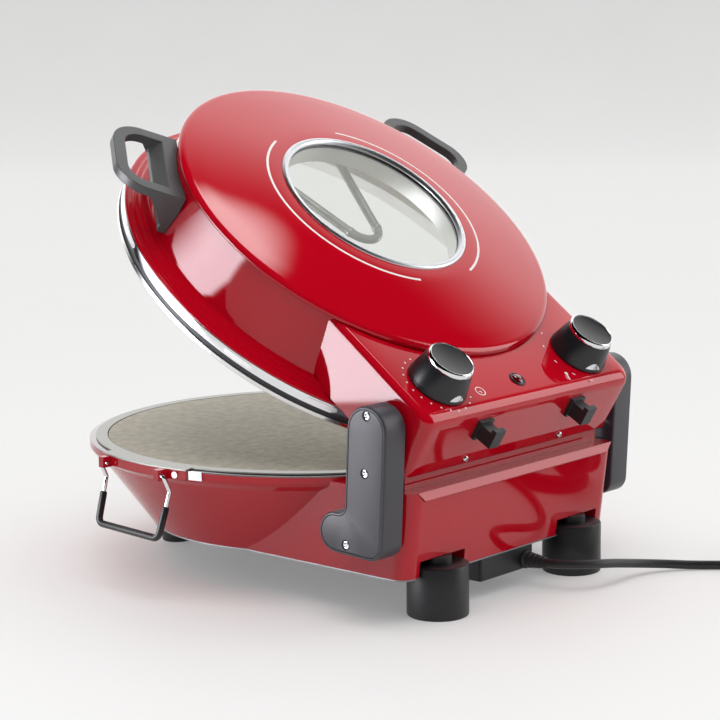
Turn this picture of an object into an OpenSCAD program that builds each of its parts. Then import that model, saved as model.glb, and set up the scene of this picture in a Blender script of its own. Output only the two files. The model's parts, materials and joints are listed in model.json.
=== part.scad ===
/* [Bowl] */
// How far the bowl's centre lies in front of the middle of the whole object
bowl_front = 26.5; // [20:0.5:32]
// How far the bowl's centre stands to the side of the object's middle, away from the wire handle
bowl_aside = 3.5; // [0:0.5:7]
// Outer radius of the bowl's rim
rim_r = 172; // [168:1:180]
// Height of the rim's top edge above the table
rim_z = 95.8; // [94:0.2:98]
// Height of the upright band under the rim
band_h = 8; // [6:1:12]
// How far the bowl draws in from its rim down to the bottom cover
bowl_taper = 46.5; // [42:0.5:56]
// Height of the bowl's lower edge above the table
floor_z = 31.5; // [30:0.5:34]
// Thickness of all steel sheet
sheet = 1.2; // [1:0.1:1.5]

/* [Rear box] */
// How far the sides of the box behind the bowl, and of the control box, stand in from the rim
box_step = 52.5; // [52:0.5:54]
// How far the rear wall's top stands behind the bowl's rim
box_depth = 27; // [25:0.5:29]
// How far the rear wall leans in towards its lower edge
box_lean = 8; // [4:1:10]
// Radius of the upright corners of the box
box_corner_r = 12; // [8:1:16]
// Height of the deck on top of the box
deck_z = 93.2; // [92:0.2:94]
// How far each end of the wiring neck stands in from the box's side
neck_step = 7.5; // [5.5:0.5:19]
// Depth of the wiring neck
neck_d = 10; // [8:1:11]
// Height of the top of the wiring neck
neck_top_z = 106; // [102:0.5:106.5]
// Height of the folded ledge along the top of the rear wall
ledge_h = 7; // [5:0.5:9]

/* [Feet] */
// Radius of a rear foot
rear_foot_r = 22; // [18:0.5:23]
// Height of a rear foot's body
rear_foot_h = 37.4; // [36:0.2:40]
// Distance of the rear feet's centres in from the box's sides
rear_foot_side = 40.2; // [36:0.5:45]
// Distance of the rear feet's centres in from the rear wall's top
rear_foot_inset = 11.3; // [9:0.5:15]
// Gap left round a rear foot by its arch in the casing
arch_gap = 3; // [2.5:0.5:4]
// Upper radius of a front foot
front_foot_r = 14; // [11:0.5:16]
// Distance of the front feet from the middle plane
front_foot_x = 40; // [30:1:50]
// Distance of the front feet's centres in from the bowl's lower edge
front_foot_inset = 13.5; // [12:0.5:21]

/* [Hinge] */
// Distance of the hinge line in front of the rear wall's top
pivot_inset = 21; // [20:0.5:22]
// Height of the hinge line above the table
pivot_z = 129.5; // [129:0.5:131]
// Angle by which the lid stands open
open_angle = 36.2; // [30:0.2:36.2]
// Radius of the hinge pins
pin_r = 4; // [3:0.5:5]
// Running clearance round a pin or shaft
run_gap = 0.06; // [0.04:0.01:0.08]
// Clearance between parts that only lie against each other
seat_gap = 0.3; // [0.2:0.05:0.4]
// Gap between the box's side and a hinge arm
arm_gap = 3.7; // [3:0.1:5.5]
// Thickness of a hinge arm
arm_t = 21.4; // [18:0.2:24]
// Half the width of a hinge arm
arm_half = 17.5; // [15:0.5:18.5]
// Angle by which the hinge arms lean back
arm_lean = 3; // [0:1:4]
// Length of the arm above its middle screw, to the centre of its round top
arm_up = 29; // [26:1:32]
// Length of the arm below its middle screw
arm_down = 60.3; // [56:0.5:64]
// How far the toe of the arm reaches forward of its middle line, to the centre of its round end
toe_reach = 25.5; // [22:0.5:28]
// Radius of the toe's round end
toe_r = 14.3; // [12:0.1:15]

/* [Lid] */
// Height of the lid's ring plane above the table when the lid is shut
lid_z = 100; // [100:0.2:101]
// Width of the lid's flange outside its side wall
flange_w = 16; // [15:0.5:18]
// How far the lid's side wall draws in from its foot to its top
wall_draft = 7.5; // [6:0.5:10]
// How far the domed cover's edge stands out past the side wall's top
dome_overhang = 3.5; // [3:0.5:5]
// Height of the domed cover's edge above the ring plane
dome_edge_h = 68.6; // [66:0.2:70]
// How far the dome rises from its edge to the window ring
dome_rise = 11.5; // [8:0.5:14]
// Gap between the control panel and the lower edge of the domed cover
panel_gap = 0.1; // [0.1:0.1:2.5]
// Distance of the control box's rear wall behind the hinge line
panel_depth = 25.5; // [24.5:0.5:27]

/* [Window] */
// Outer radius of the bright ring round the window
window_r = 76.2; // [70:0.2:80]
// Width of the bright ring
window_ring_w = 6; // [5:0.5:8]
// Thickness of the window's glass
glass_t = 4; // [3:0.5:5]

/* [Controls] */
// Distance of each knob's centre in from the control box's side
knob_side = 37.5; // [31:0.5:39]
// Distance of the knobs' centres in front of the control box's rear wall
knob_inset = 36.5; // [33:0.5:38]
// Radius of a knob at its foot
knob_r = 22.5; // [18:0.5:24]
// Radius of a knob at its top
knob_top_r = 17.5; // [14:0.5:20]
// Height of a knob
knob_h = 23.5; // [20:1:28]
// Radius of a knob's shaft
shaft_r = 3; // [2.5:0.5:4]
// Distance of the pilot lamp from the middle plane
lamp_x = 3; // [0:1:8]
// Distance of the pilot lamp in front of the control box's rear wall
lamp_inset = 25; // [23:0.5:28]

/* [Lid handles] */
// Angle of the left lid handle forward of straight sideways
handle_angle = 33.5; // [30:0.5:36]
// Angle of the right lid handle forward of straight sideways
right_handle_angle = 27.5; // [25:0.5:36]
// Width of a lid handle
handle_w = 77; // [70:1:84]
// How far a lid handle reaches out past the rim
handle_reach = 26.5; // [18:0.5:31]
// Height of a handle's top above the ring plane
handle_top_h = 57.5; // [55:0.5:59]
// Thickness of the handle's grip
grip_t = 6.5; // [5:0.5:8]

/* [Stone and turning handle] */
// Width of the gap between the stone's edge and the bowl's rim
stone_margin = 14; // [14:0.5:20]
// Thickness of the baking stone
stone_t = 10.8; // [9:0.2:12]
// How far the carrier's lip ends short of the bowl's rim
carrier_margin = 4.9; // [4:0.1:6]
// Radius of the turning spindle
spindle_r = 4; // [3:0.5:6]
// Angle of the wire handle from straight sideways, towards the front
strap_angle = 6.1; // [4:0.1:10]
// Angle that the strap covers in front of the wire handle's middle
strap_front = 14.4; // [13.5:0.1:16]
// Angle that the strap covers behind the wire handle's middle
strap_rear = 17.1; // [16:0.1:19]
// Distance between the legs of the wire handle
bail_w = 75; // [70:1:80]
// Drop from the wire handle's pivot to its lower bar
bail_drop = 45; // [40:1:48]
// Radius of the handle's wire
wire_r = 1.6; // [1.4:0.1:2]

/* [Hidden] */
$fn = 96;
eps = 0.01;
// A ball at a bend stands this much proud of the tube.
joint = 1.04;

// Heights and radii that follow from the sizes above.
ring_top_z = rim_z + 0.8;
rim_in_r = rim_r - sheet;
floor_r = rim_r - bowl_taper;
half_w = rim_r - box_step;
box_w = 2 * half_w;
box_rear_y = rim_r + box_depth;
box_front_y = floor_r - 80.5;
neck_w = box_w - 2 * neck_step;
rear_foot_x = half_w - rear_foot_side;
rear_foot_y = box_rear_y - rear_foot_inset;
front_foot_y = floor_r - front_foot_inset;
pivot_y = box_rear_y - pivot_inset;
arm_in_x = half_w + arm_gap;
wall_foot_r = rim_r - flange_w;
wall_top_r = wall_foot_r - wall_draft;
dome_r = wall_top_r + dome_overhang;
dome_lip_h = dome_edge_h - 4;
panel_h = dome_lip_h - panel_gap;
panel_rear_y = pivot_y + panel_depth;
knob_x = half_w - knob_side;
knob_y = panel_rear_y - knob_inset;
lamp_y = panel_rear_y - lamp_inset;
handle_r = rim_r + handle_reach;
stone_r = rim_r - stone_margin;
carrier_r = rim_r - carrier_margin;
lean_slope = box_lean / (deck_z - floor_z);
arch_r = rear_foot_r + arch_gap;
arch_roof_z = rear_foot_h + 5.6;
liner_floor_z = 44;
neck_rear_y = rim_r + 3.5 + neck_d;
arm_out_x = arm_in_x + arm_t;
arm_wall = 2.5;
tube_r = 3.3;
screw_r = 2;
element_z = 66;
arm_origin_y = pivot_y - 0.4;
arm_origin_z = pivot_z - 19.6;

// Steel red, black plastic and the other finishes.
RED = [0.72, 0.02, 0.06];
BLACK = [0.12, 0.12, 0.13];
CHROME = [0.82, 0.83, 0.85];
STEEL = [0.66, 0.66, 0.68];
STONE = [0.68, 0.67, 0.63];

function rear_wall_y(z) = box_rear_y - lean_slope * (deck_z - z);

// Everything is drawn about the bowl's centre; this moves it to the middle of the whole object.
module in_frame() {
    translate([-bowl_aside, -bowl_front, 0]) children();
}

// Puts lid parts, drawn shut, at the angle at which the lid stands open.
module lid_open() {
    translate([0, pivot_y, pivot_z])
        rotate([-open_angle, 0, 0])
            translate([0, -pivot_y, -pivot_z])
                children();
}

// Lifts a lid part from the ring plane to its shut height, then opens it.
module on_lid() {
    lid_open()
        translate([0, 0, lid_z])
            children();
}

// Draws the children on both sides of the middle plane.
module both_sides() {
    children();
    mirror([1, 0, 0]) children();
}

module ring_of(points) {
    rotate_extrude($fn = 180) polygon(points);
}

// ---------- Base casing ----------

function bowl_line(inset) = [
    [floor_r - inset, floor_z],
    [rim_r - 7 - inset, rim_z - band_h - 3],
    [rim_r - 1.5 - inset, rim_z - band_h + 1],
    [rim_r - inset, rim_z - band_h + 3.5]];

module bowl_solid(inset, low, high) {
    ring_of(concat([[0, low], [floor_r - inset, low]], bowl_line(inset),
        [[rim_r - inset, high], [0, high]]));
}

// The rear box: upright sides, round corners and a rear wall that leans in.
module box_solid(inset, low, high) {
    corner = box_corner_r - inset;
    x = half_w - box_corner_r;
    hull() {
        for (side = [-1, 1]) {
            for (z = [low, high - eps])
                translate([side * x, rear_wall_y(z) - box_corner_r, z])
                    cylinder(r = corner, h = eps, $fn = 32);
            translate([side * x, box_front_y, low])
                cylinder(r = corner, h = high - low, $fn = 32);
        }
    }
}

module rear_foot_places() {
    for (side = [-1, 1])
        translate([side * rear_foot_x, rear_foot_y, 0])
            children();
}

module base_shell() {
    color(RED)
    difference() {
        union() {
            difference() {
                union() {
                    bowl_solid(0, floor_z, rim_z);
                    box_solid(0, floor_z, deck_z);
                }
                bowl_solid(sheet, floor_z - 1, rim_z + 1);
                box_solid(sheet, floor_z - 1, deck_z - sheet);
            }
            intersection() {
                box_solid(0, floor_z, deck_z);
                rear_foot_places()
                    cylinder(r = arch_r + sheet, h = arch_roof_z + sheet);
            }
        }
        rear_foot_places() {
            cylinder(r = arch_r, h = arch_roof_z);
            cylinder(r = screw_r + 0.3, h = arch_roof_z + 5);
        }
        // Slot in the deck for the wires that rise into the neck.
        translate([-30, neck_rear_y - neck_d + 2.5, deck_z - 5])
            cube([60, neck_d - 5, 10]);
    }
}

module rear_neck() {
    color(RED)
    difference() {
        translate([-neck_w / 2, neck_rear_y - neck_d, deck_z])
            cube([neck_w, neck_d, neck_top_z - deck_z]);
        translate([-neck_w / 2 + sheet, neck_rear_y - neck_d + sheet, deck_z - 1])
            cube([neck_w - 2 * sheet, neck_d - 2 * sheet, neck_top_z - deck_z + 1 - sheet]);
        translate([-30, neck_rear_y - neck_d + 2.5, deck_z])
            cube([60, neck_d - 5, 30]);
    }
}

// A folded lip over the rear edge, with its ends cut back at an angle.
module rear_ledge() {
    low = deck_z - ledge_h + 0.6;
    long_half = half_w - 6;
    short_half = long_half - ledge_h;
    color(RED)
    intersection() {
        rotate([90, 0, 90])
            translate([0, 0, -half_w])
                linear_extrude(box_w)
                    polygon([
                        [rear_wall_y(low), low], [rear_wall_y(deck_z), deck_z],
                        [box_rear_y - 3, deck_z], [box_rear_y - 3, deck_z + 0.6],
                        [box_rear_y + 0.7, deck_z + 0.6], [box_rear_y + 2, low + 1],
                        [box_rear_y + 2, low]]);
        rotate([90, 0, 0])
            translate([0, 0, -box_rear_y - 10])
                linear_extrude(40)
                    polygon([[-short_half, low - 1], [short_half, low - 1],
                        [long_half, deck_z + 1], [-long_half, deck_z + 1]]);
    }
}

module base_rim_ring() {
    color(CHROME)
    ring_of([[rim_in_r - 4.8, rim_z], [rim_r, rim_z], [rim_r, ring_top_z], [rim_in_r - 4.8, ring_top_z]]);
}

// Bright dish under the heater, hung from the rim ring.
module base_liner() {
    t = 0.8;
    flange = rim_in_r - 0.4;
    wall_r = stone_r + 0.4 + sheet + 1;
    low_z = ledge_z - sheet - 3;
    bed_r = lower_ring_r + 12;
    color(STEEL)
    difference() {
        ring_of([[0, liner_floor_z], [bed_r, liner_floor_z], [wall_r + t, low_z - 0.4],
            [wall_r + t, rim_z - t], [flange, rim_z - t], [flange, rim_z], [wall_r, rim_z],
            [wall_r, low_z], [bed_r - 0.4, liner_floor_z + t], [0, liner_floor_z + t]]);
        for (side = [-1, 1])
            translate([side * terminal_half, lower_ring_r, element_z])
                rotate([-90, 0, 0])
                    cylinder(r = tube_r + 1.5, h = rim_r - lower_ring_r);
    }
}

// ---------- Lower heater ----------

module torus(r, tube, angle = 360) {
    rotate_extrude(angle = angle, $fn = 120)
        translate([r, 0])
            circle(r = tube, $fn = 32);
}

module rod(from, to, r) {
    v = to - from;
    length = norm(v);
    translate(from)
        rotate([0, acos(v[2] / length), atan2(v[1], v[0])])
            cylinder(r = r, h = length, $fn = 32);
}

lower_ring_r = floor_r - 25.5;
block_y = stone_r;
terminal_half = 14;
lower_gap_angle = asin(terminal_half / lower_ring_r);

module lower_element() {
    x = terminal_half;
    y = lower_ring_r * cos(lower_gap_angle);
    color([0.36, 0.36, 0.37])
    translate([0, 0, element_z]) {
        rotate([0, 0, 90 + lower_gap_angle])
            torus(lower_ring_r, tube_r, 360 - 2 * lower_gap_angle);
        for (side = [-1, 1]) {
            translate([side * x, y, 0]) sphere(r = tube_r + 0.6, $fn = 32);
            rod([side * x, y, 0], [side * x, block_y, 0], tube_r);
        }
    }
}

module element_clips() {
    color(STEEL)
    difference() {
        for (a = [-90, 30, 150])
            rotate([0, 0, a])
                translate([lower_ring_r - 6, -4, liner_floor_z + 0.8])
                    cube([12, 8, element_z - liner_floor_z - 0.8]);
        translate([0, 0, element_z]) torus(lower_ring_r, tube_r + seat_gap);
    }
}

module terminal_block() {
    color([0.86, 0.84, 0.78])
    difference() {
        union() {
            translate([-26, block_y, element_z - 8]) cube([52, 14, 16]);
            for (side = [-1, 1])
                translate([side * 20 - 3, block_y + 3, floor_z]) cube([6, 8, element_z - floor_z]);
        }
        for (side = [-1, 1])
            translate([side * terminal_half, block_y - 8, element_z])
                rotate([-90, 0, 0])
                    cylinder(r = 2, h = 30);
    }
}

// ---------- Turning gear under the stone ----------

stone_top_z = ring_top_z + 1.4;
ledge_z = stone_top_z - stone_t;
hub_low_z = ledge_z - 12.2;

module spindle() {
    color(STEEL) {
        translate([0, 0, liner_floor_z + 0.8]) cylinder(r = 14, h = 4);
        translate([0, 0, liner_floor_z + 0.8]) cylinder(r = spindle_r + 3, h = hub_low_z - seat_gap - liner_floor_z - 0.8);
        translate([0, 0, liner_floor_z + 0.8]) cylinder(r = spindle_r, h = ledge_z - 3 - liner_floor_z);
    }
}

module stone_carrier() {
    lip_z = ring_top_z + seat_gap;
    bed_r = stone_r + 0.4;
    tab_out = rim_r + 3.2;
    color([0.62, 0.62, 0.6])
    difference() {
        union() {
            ring_of([[carrier_r, lip_z], [carrier_r, stone_top_z], [bed_r, stone_top_z],
                [bed_r, ledge_z], [bed_r - 10, ledge_z], [bed_r - 10, ledge_z - sheet],
                [bed_r + sheet, ledge_z - sheet], [bed_r + sheet, lip_z]]);
            // Tab that carries the strap of the wire handle past the rim.
            rotate([0, 0, -strap_angle - strap_front])
                rotate_extrude(angle = strap_front + strap_rear, $fn = 180)
                    translate([carrier_r - 1, lip_z])
                        square([tab_out - carrier_r + 1, stone_top_z - lip_z]);
            for (a = [0, 90, 180, 270])
                rotate([0, 0, a])
                    translate([0, -7, ledge_z - sheet])
                        cube([bed_r - 5, 14, sheet]);
            translate([0, 0, hub_low_z]) cylinder(r = 12, h = ledge_z - hub_low_z);
        }
        translate([0, 0, hub_low_z - 1]) cylinder(r = spindle_r + run_gap, h = ledge_z - hub_low_z - 1);
    }
}

module baking_stone() {
    color(STONE)
    ring_of([[0, ledge_z], [stone_r - 1, ledge_z], [stone_r, ledge_z + 1],
        [stone_r, stone_top_z - 1.5], [stone_r - 1.5, stone_top_z], [0, stone_top_z]]);
}

// The wire handle is drawn about its own middle line: x outward, y along the strap.
pivot_rho = rim_r + 4.4;
pivot_drop_z = ring_top_z - 4.2;
ear_y = bail_w / 2 - 5;

module at_strap() {
    rotate([0, 0, -strap_angle]) children();
}

module turn_strap() {
    in_r = rim_r + 1.4;
    top_z = ring_top_z + seat_gap;
    low_z = top_z - 6.6;
    color(RED)
    at_strap()
        difference() {
            union() {
                rotate([0, 0, -strap_front])
                    rotate_extrude(angle = strap_front + strap_rear, $fn = 180)
                        translate([in_r, low_z])
                            square([1.8, top_z - low_z]);
                for (side = [-1, 1])
                    translate([sqrt(in_r * in_r - ear_y * ear_y) + 0.6, side * ear_y - 2.7, pivot_drop_z - 3.4])
                        cube([pivot_rho + 3 - sqrt(in_r * in_r - ear_y * ear_y) - 0.6, 5.4, top_z - pivot_drop_z + 3.4]);
            }
            for (side = [-1, 1])
                translate([pivot_rho, side * ear_y - 5, pivot_drop_z])
                    rotate([-90, 0, 0])
                        cylinder(r = wire_r + run_gap, h = 10);
            strap_screw_place() translate([0, 0, -3]) cylinder(r = 1.3, h = 10);
        }
}

// Bright plate behind the strap, and the screw that joins them.
module strap_plate() {
    out_r = rim_r + 1.4;
    top_z = ring_top_z + seat_gap;
    color(CHROME) {
        at_strap()
            difference() {
                rotate([0, 0, -strap_front + 2])
                    rotate_extrude(angle = strap_front + strap_rear + 2, $fn = 180)
                        translate([out_r - 0.9, top_z - 6.4])
                            square([0.9, 6.4]);
                strap_screw_place() translate([0, 0, -3]) cylinder(r = 1.3, h = 10);
            }
    }
}

module strap_screw_place() {
    rotate([0, 0, 14.2])
        translate([rim_r + 3.2, 0, ring_top_z - 3])
            rotate([0, 90, 0])
                children();
}

module strap_screw() {
    color(CHROME)
    at_strap()
        strap_screw_place() {
            cylinder(r = 2.4, h = 1.4);
            translate([0, 0, -2.3]) cylinder(r = 1.2, h = 3);
        }
}

bail_top = [pivot_rho, bail_w / 2, pivot_drop_z];
bail_knee = [pivot_rho - 5.4, bail_w / 2, pivot_drop_z - 11.8];
bail_foot = [pivot_rho + 4.6, bail_w / 2 - 2, pivot_drop_z - bail_drop];
sleeve_share = 0.32;
sleeve_r = wire_r + 1;

function swap_side(p, side) = [p[0], p[1] * side, p[2]];
function swap_side_x(p, side) = [p[0] * side, p[1], p[2]];

// The wire's legs, from the pivots to the point where the sleeve starts.
module bail_wire() {
    sleeve_top = bail_knee + (bail_foot - bail_knee) * sleeve_share;
    color(CHROME)
    at_strap()
        for (side = [-1, 1]) {
            rod(swap_side(bail_top, side), swap_side(bail_top - [0, 9, 0], side), wire_r);
            translate(swap_side(bail_top, side)) sphere(r = joint * wire_r, $fn = 32);
            rod(swap_side(bail_top, side), swap_side(bail_knee, side), wire_r);
            translate(swap_side(bail_knee, side)) sphere(r = joint * wire_r, $fn = 32);
            rod(swap_side(bail_knee, side), swap_side(sleeve_top, side), wire_r);
        }
}

module bail_sleeve() {
    sleeve_top = bail_knee + (bail_foot - bail_knee) * sleeve_share;
    color(BLACK)
    at_strap() {
        for (side = [-1, 1]) {
            rod(swap_side(sleeve_top, side), swap_side(bail_foot, side), sleeve_r);
            translate(swap_side(bail_foot, side)) sphere(r = joint * sleeve_r, $fn = 32);
        }
        rod(swap_side(bail_foot, -1), bail_foot, sleeve_r);
    }
}

// ---------- Underside ----------

module bottom_cover() {
    color([0.3, 0.3, 0.31])
    difference() {
        translate([0, 0, floor_z - sheet])
            linear_extrude(sheet)
                difference() {
                    union() {
                        circle(r = floor_r - 0.5);
                        hull()
                            for (side = [-1, 1], y = [box_front_y, rear_wall_y(floor_z) - box_corner_r])
                                translate([side * (half_w - box_corner_r), y])
                                    circle(r = box_corner_r - 0.5, $fn = 32);
                    }
                    for (side = [-1, 1]) {
                        translate([side * rear_foot_x, rear_foot_y]) circle(r = rear_foot_r + seat_gap);
                        translate([side * front_foot_x, -front_foot_y]) circle(r = screw_r + 0.3);
                    }
                    // Way down into the cable box.
                    translate([-12, cable_box_front + 15]) square([24, 14]);
                }
        // The casing's arches run on through the cover's rear edge.
        rear_foot_places()
            translate([0, 8, floor_z - 5])
                cylinder(r = rear_foot_r, h = 10);
    }
}

module rear_foot() {
    color(BLACK)
    difference() {
        union() {
            cylinder(r = rear_foot_r, h = rear_foot_h);
            cylinder(r = 10, h = arch_roof_z - seat_gap);
        }
        translate([0, 0, 20]) cylinder(r = screw_r + run_gap, h = 60);
    }
}

module front_foot() {
    high = floor_z - sheet;
    color(BLACK)
    difference() {
        rotate_extrude()
            polygon([[0, 0], [front_foot_r - 2.5, 0], [front_foot_r - 2, 0.6],
                [front_foot_r, high], [0, high]]);
        translate([0, 0, 12]) cylinder(r = screw_r + run_gap, h = 60);
    }
}

module rear_foot_left() {
    translate([rear_foot_x, rear_foot_y, 0]) rear_foot();
}

module rear_foot_right() {
    translate([-rear_foot_x, rear_foot_y, 0]) rear_foot();
}

module front_foot_left() {
    translate([front_foot_x, -front_foot_y, 0]) front_foot();
}

module front_foot_right() {
    translate([-front_foot_x, -front_foot_y, 0]) front_foot();
}

module foot_screw(low, seat) {
    color(STEEL) {
        translate([0, 0, low]) cylinder(r = screw_r, h = seat - low + 1);
        translate([0, 0, seat]) cylinder(r = screw_r + 1.2, h = 2.6);
    }
}

module foot_screws() {
    rear_foot_places() foot_screw(22, arch_roof_z + sheet);
    for (side = [-1, 1])
        translate([side * front_foot_x, -front_foot_y, 0])
            foot_screw(14, floor_z);
}

// ---------- Cord ----------

box_low_z = 12.5;
cable_box_rear = box_rear_y - 11;
cable_box_front = cable_box_rear - 63;
box_side = 31;
exit_x = -22;
exit_z = 19.3;
gland_r = 4.5;
cord_r = 3.3;
relief_l = 20;

module cable_box() {
    wall = 2;
    color(BLACK)
    difference() {
        translate([-box_side, cable_box_front, box_low_z])
            cube([2 * box_side, cable_box_rear - cable_box_front, floor_z - sheet - box_low_z]);
        translate([-box_side + wall, cable_box_front + wall, box_low_z + wall])
            cube([2 * (box_side - wall), cable_box_rear - cable_box_front - 2 * wall, 40]);
        translate([exit_x, cable_box_rear - 5, exit_z])
            rotate([-90, 0, 0])
                cylinder(r = gland_r + run_gap, h = 10);
    }
}

// Moulded collar in the wall, tapering outward along the cord.
module cord_gland() {
    color(BLACK)
    translate([exit_x, 0, exit_z])
        rotate([-90, 0, 0]) {
            translate([0, 0, cable_box_rear - 8]) cylinder(r = gland_r, h = 10);
            translate([0, 0, cable_box_rear]) cylinder(r1 = 6, r2 = 3.9, h = relief_l);
        }
}

// The cord's route: out of the strain relief, past the rear foot, down to the table.
route = [[-22, 208, 19.3], [-22.8, 215.6, 19.7], [-25.8, 222.6, 20], [-30.6, 228.6, 20],
    [-36.8, 233, 19.6], [-44, 235.6, 18.8], [-52, 236.6, 17.7], [-64, 236.8, 15.6],
    [-77, 236.8, 13], [-90, 237.4, 10.4], [-102.4, 240, 8.2], [-114, 244.6, 6.4],
    [-124.6, 250.8, 4.9], [-134, 258.2, 3.8], [-142.4, 266.8, 3.4], [-149.6, 276, 3.4],
    [-156, 286, 3.4], [-161.6, 296.8, 3.4], [-166, 308, 3.4], [-169, 320, 3.4]];

function unit(v) = v / norm(v);
function tangent(path, i) =
    i == 0 ? [0, 1, 0]
    : i == len(path) - 1 ? [0, 1, 0]
    : unit(path[i + 1] - path[i - 1]);
function side_of(t) = unit(cross(t, [0, 0, 1]));

module tube(path, r, sides) {
    rings = [for (i = [0 : len(path) - 1])
        let (t = tangent(path, i), s = side_of(t), u = cross(s, t))
            for (k = [0 : sides - 1])
                let (a = 360 * k / sides)
                    path[i] + r * (cos(a) * s + sin(a) * u)];
    last = (len(path) - 1) * sides;
    walls = [for (i = [0 : len(path) - 2], k = [0 : sides - 1])
        let (a = i * sides + k, b = i * sides + (k + 1) % sides)
            [a, b, b + sides, a + sides]];
    start = [[for (k = [0 : sides - 1]) sides - 1 - k]];
    finish = [[for (k = [0 : sides - 1]) last + k]];
    polyhedron(rings, concat(start, walls, finish), convexity = 6);
}

module power_cord() {
    color(BLACK)
    tube(route, cord_r, 12);
}

// The spare length, wound flat: two turns side by side in two layers.
coil_r = 37;
coil_x = -209.3;
coil_y = 320;

coil_h = 4 * cord_r + 0.4;

module cord_coil() {
    last = route[len(route) - 1];
    color(BLACK)
    difference() {
        translate([coil_x, coil_y, 0])
            rotate_extrude($fn = 120)
                translate([coil_r - 2 * cord_r, 0])
                    square([4 * cord_r, coil_h]);
        // The cord comes in here and meets the ring end to end.
        translate([last[0] - cord_r - 0.2, last[1] - 40, -1])
            cube([40, 40, 2 * cord_r + 1.5]);
    }
}

module coil_tie() {
    color([0.06, 0.06, 0.06])
    translate([coil_x, coil_y, 0])
        rotate([0, 0, 100])
            difference() {
                translate([coil_r - 2 * cord_r - 1.5, -4, 0]) cube([4 * cord_r + 3, 8, coil_h + 1.5]);
                translate([coil_r - 2 * cord_r - seat_gap - 0.2, -5, -1])
                    cube([4 * cord_r + 2 * seat_gap + 0.2, 10, coil_h + 1 + seat_gap]);
            }
}

// The plug lies on the coil, tipped so that its tail and its face both touch.
plug_tail_r = 11;
plug_face_r = 18;
plug_length = 36;
plug_grip = 14;
plug_tip = atan((plug_face_r - plug_tail_r) / (plug_length - plug_grip));

module at_plug() {
    translate([coil_x - plug_length / 2, coil_y - coil_r, coil_h + 0.1 + plug_tail_r * cos(plug_tip)])
        rotate([0, 90 - plug_tip, 0])
            children();
}

module plug() {
    color(BLACK)
    at_plug()
        rotate_extrude()
            polygon([[0, 0], [plug_tail_r - 1, 0], [plug_tail_r, 1],
                [plug_face_r, plug_length - plug_grip], [plug_face_r, plug_length], [0, plug_length]]);
}

module plug_pins() {
    color(STEEL)
    at_plug()
        for (side = [-1, 1])
            translate([0, side * 9.5, plug_length])
                cylinder(r = 2.4, h = 19, $fn = 32);
}

// ---------- Hinge arms ----------

// The arm's outline about its middle screw, drawn smaller all round by inset.
module arm_outline(inset) {
    r = arm_half - inset;
    toe = toe_r - inset;
    heel = 12 - inset;
    toe_top = -arm_down + 2 * toe_r;
    fillet = 6 + inset;
    fillet_x = -arm_half - 6;
    translate([0, arm_up]) circle(r = r);
    translate([-r, -arm_down + 12]) square([2 * r, arm_up + arm_down - 12]);
    translate([-toe_reach, -arm_down + toe_r]) circle(r = toe);
    translate([-toe_reach, -arm_down + inset]) square([toe_reach + arm_half - 12, 2 * toe]);
    translate([arm_half - 12, -arm_down + 12]) circle(r = heel);
    difference() {
        translate([fillet_x, toe_top - inset - 1]) square([6 + inset + 0.5, 7 + inset]);
        translate([fillet_x, toe_top + 6]) circle(r = fillet);
    }
}

// Places a shape drawn in the arm's own plane on the +X side, from x = from_x outward.
module on_arm(from_x) {
    translate([from_x, arm_origin_y, arm_origin_z])
        rotate([-arm_lean, 0, 0])
            rotate([90, 0, 90])
                children();
}

arm_screw_places = [[0, 40], [0, 0], [-15.1, -53.2]];
// The pivot seen from the arm's middle screw, along the arm and across it.
pivot_up = (pivot_z - arm_origin_z) * cos(arm_lean) + (pivot_y - arm_origin_y) * sin(arm_lean);
pivot_across = (pivot_y - arm_origin_y) * cos(arm_lean) - (pivot_z - arm_origin_z) * sin(arm_lean);

module hinge_arm() {
    color(BLACK)
    difference() {
        union() {
            difference() {
                on_arm(arm_in_x) linear_extrude(arm_t) arm_outline(0);
                on_arm(arm_in_x + arm_wall) linear_extrude(arm_t) arm_outline(2);
            }
            on_arm(arm_in_x + arm_wall - 0.5)
                for (p = arm_screw_places)
                    translate([p[0], p[1], 0])
                        cylinder(r = 4.6, h = arm_t - arm_wall - 2.1);
            on_arm(arm_in_x + arm_wall - 0.5)
                translate([pivot_across, pivot_up, 0])
                    cylinder(r = 9, h = 12);
            // Pad that lies against the casing's side.
            translate([half_w, pivot_y - 26, arm_origin_z - 53.9])
                cube([arm_gap + 1, 30, 28]);
        }
        on_arm(arm_in_x + 6)
            for (p = arm_screw_places)
                translate([p[0], p[1], 0])
                    cylinder(r = 1.6, h = arm_t);
        translate([arm_in_x - 5, pivot_y, pivot_z])
            rotate([0, 90, 0])
                cylinder(r = pin_r + run_gap, h = 18.5);
    }
}

module arm_cover() {
    t = 2.6;
    color(BLACK)
    difference() {
        on_arm(arm_out_x - t) linear_extrude(t) arm_outline(2.3);
        on_arm(arm_out_x - t - 1)
            for (p = arm_screw_places)
                translate([p[0], p[1], 0])
                    cylinder(r = 1.8, h = 10);
        on_arm(arm_out_x - 1.6)
            for (p = arm_screw_places)
                translate([p[0], p[1], 0])
                    cylinder(r = 3.6, h = 10);
    }
}

module hinge_arm_left() { hinge_arm(); }
module hinge_arm_right() { mirror([1, 0, 0]) hinge_arm(); }
module arm_cover_left() { arm_cover(); }
module arm_cover_right() { mirror([1, 0, 0]) arm_cover(); }

module arm_screws() {
    color(STEEL)
    both_sides()
        for (p = arm_screw_places) {
            on_arm(arm_out_x - 1.6)
                translate([p[0], p[1], 0])
                    cylinder(r = 3, h = 1.2);
            on_arm(arm_out_x - 12)
                translate([p[0], p[1], 0])
                    cylinder(r = 1.5, h = 11);
        }
}

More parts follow.
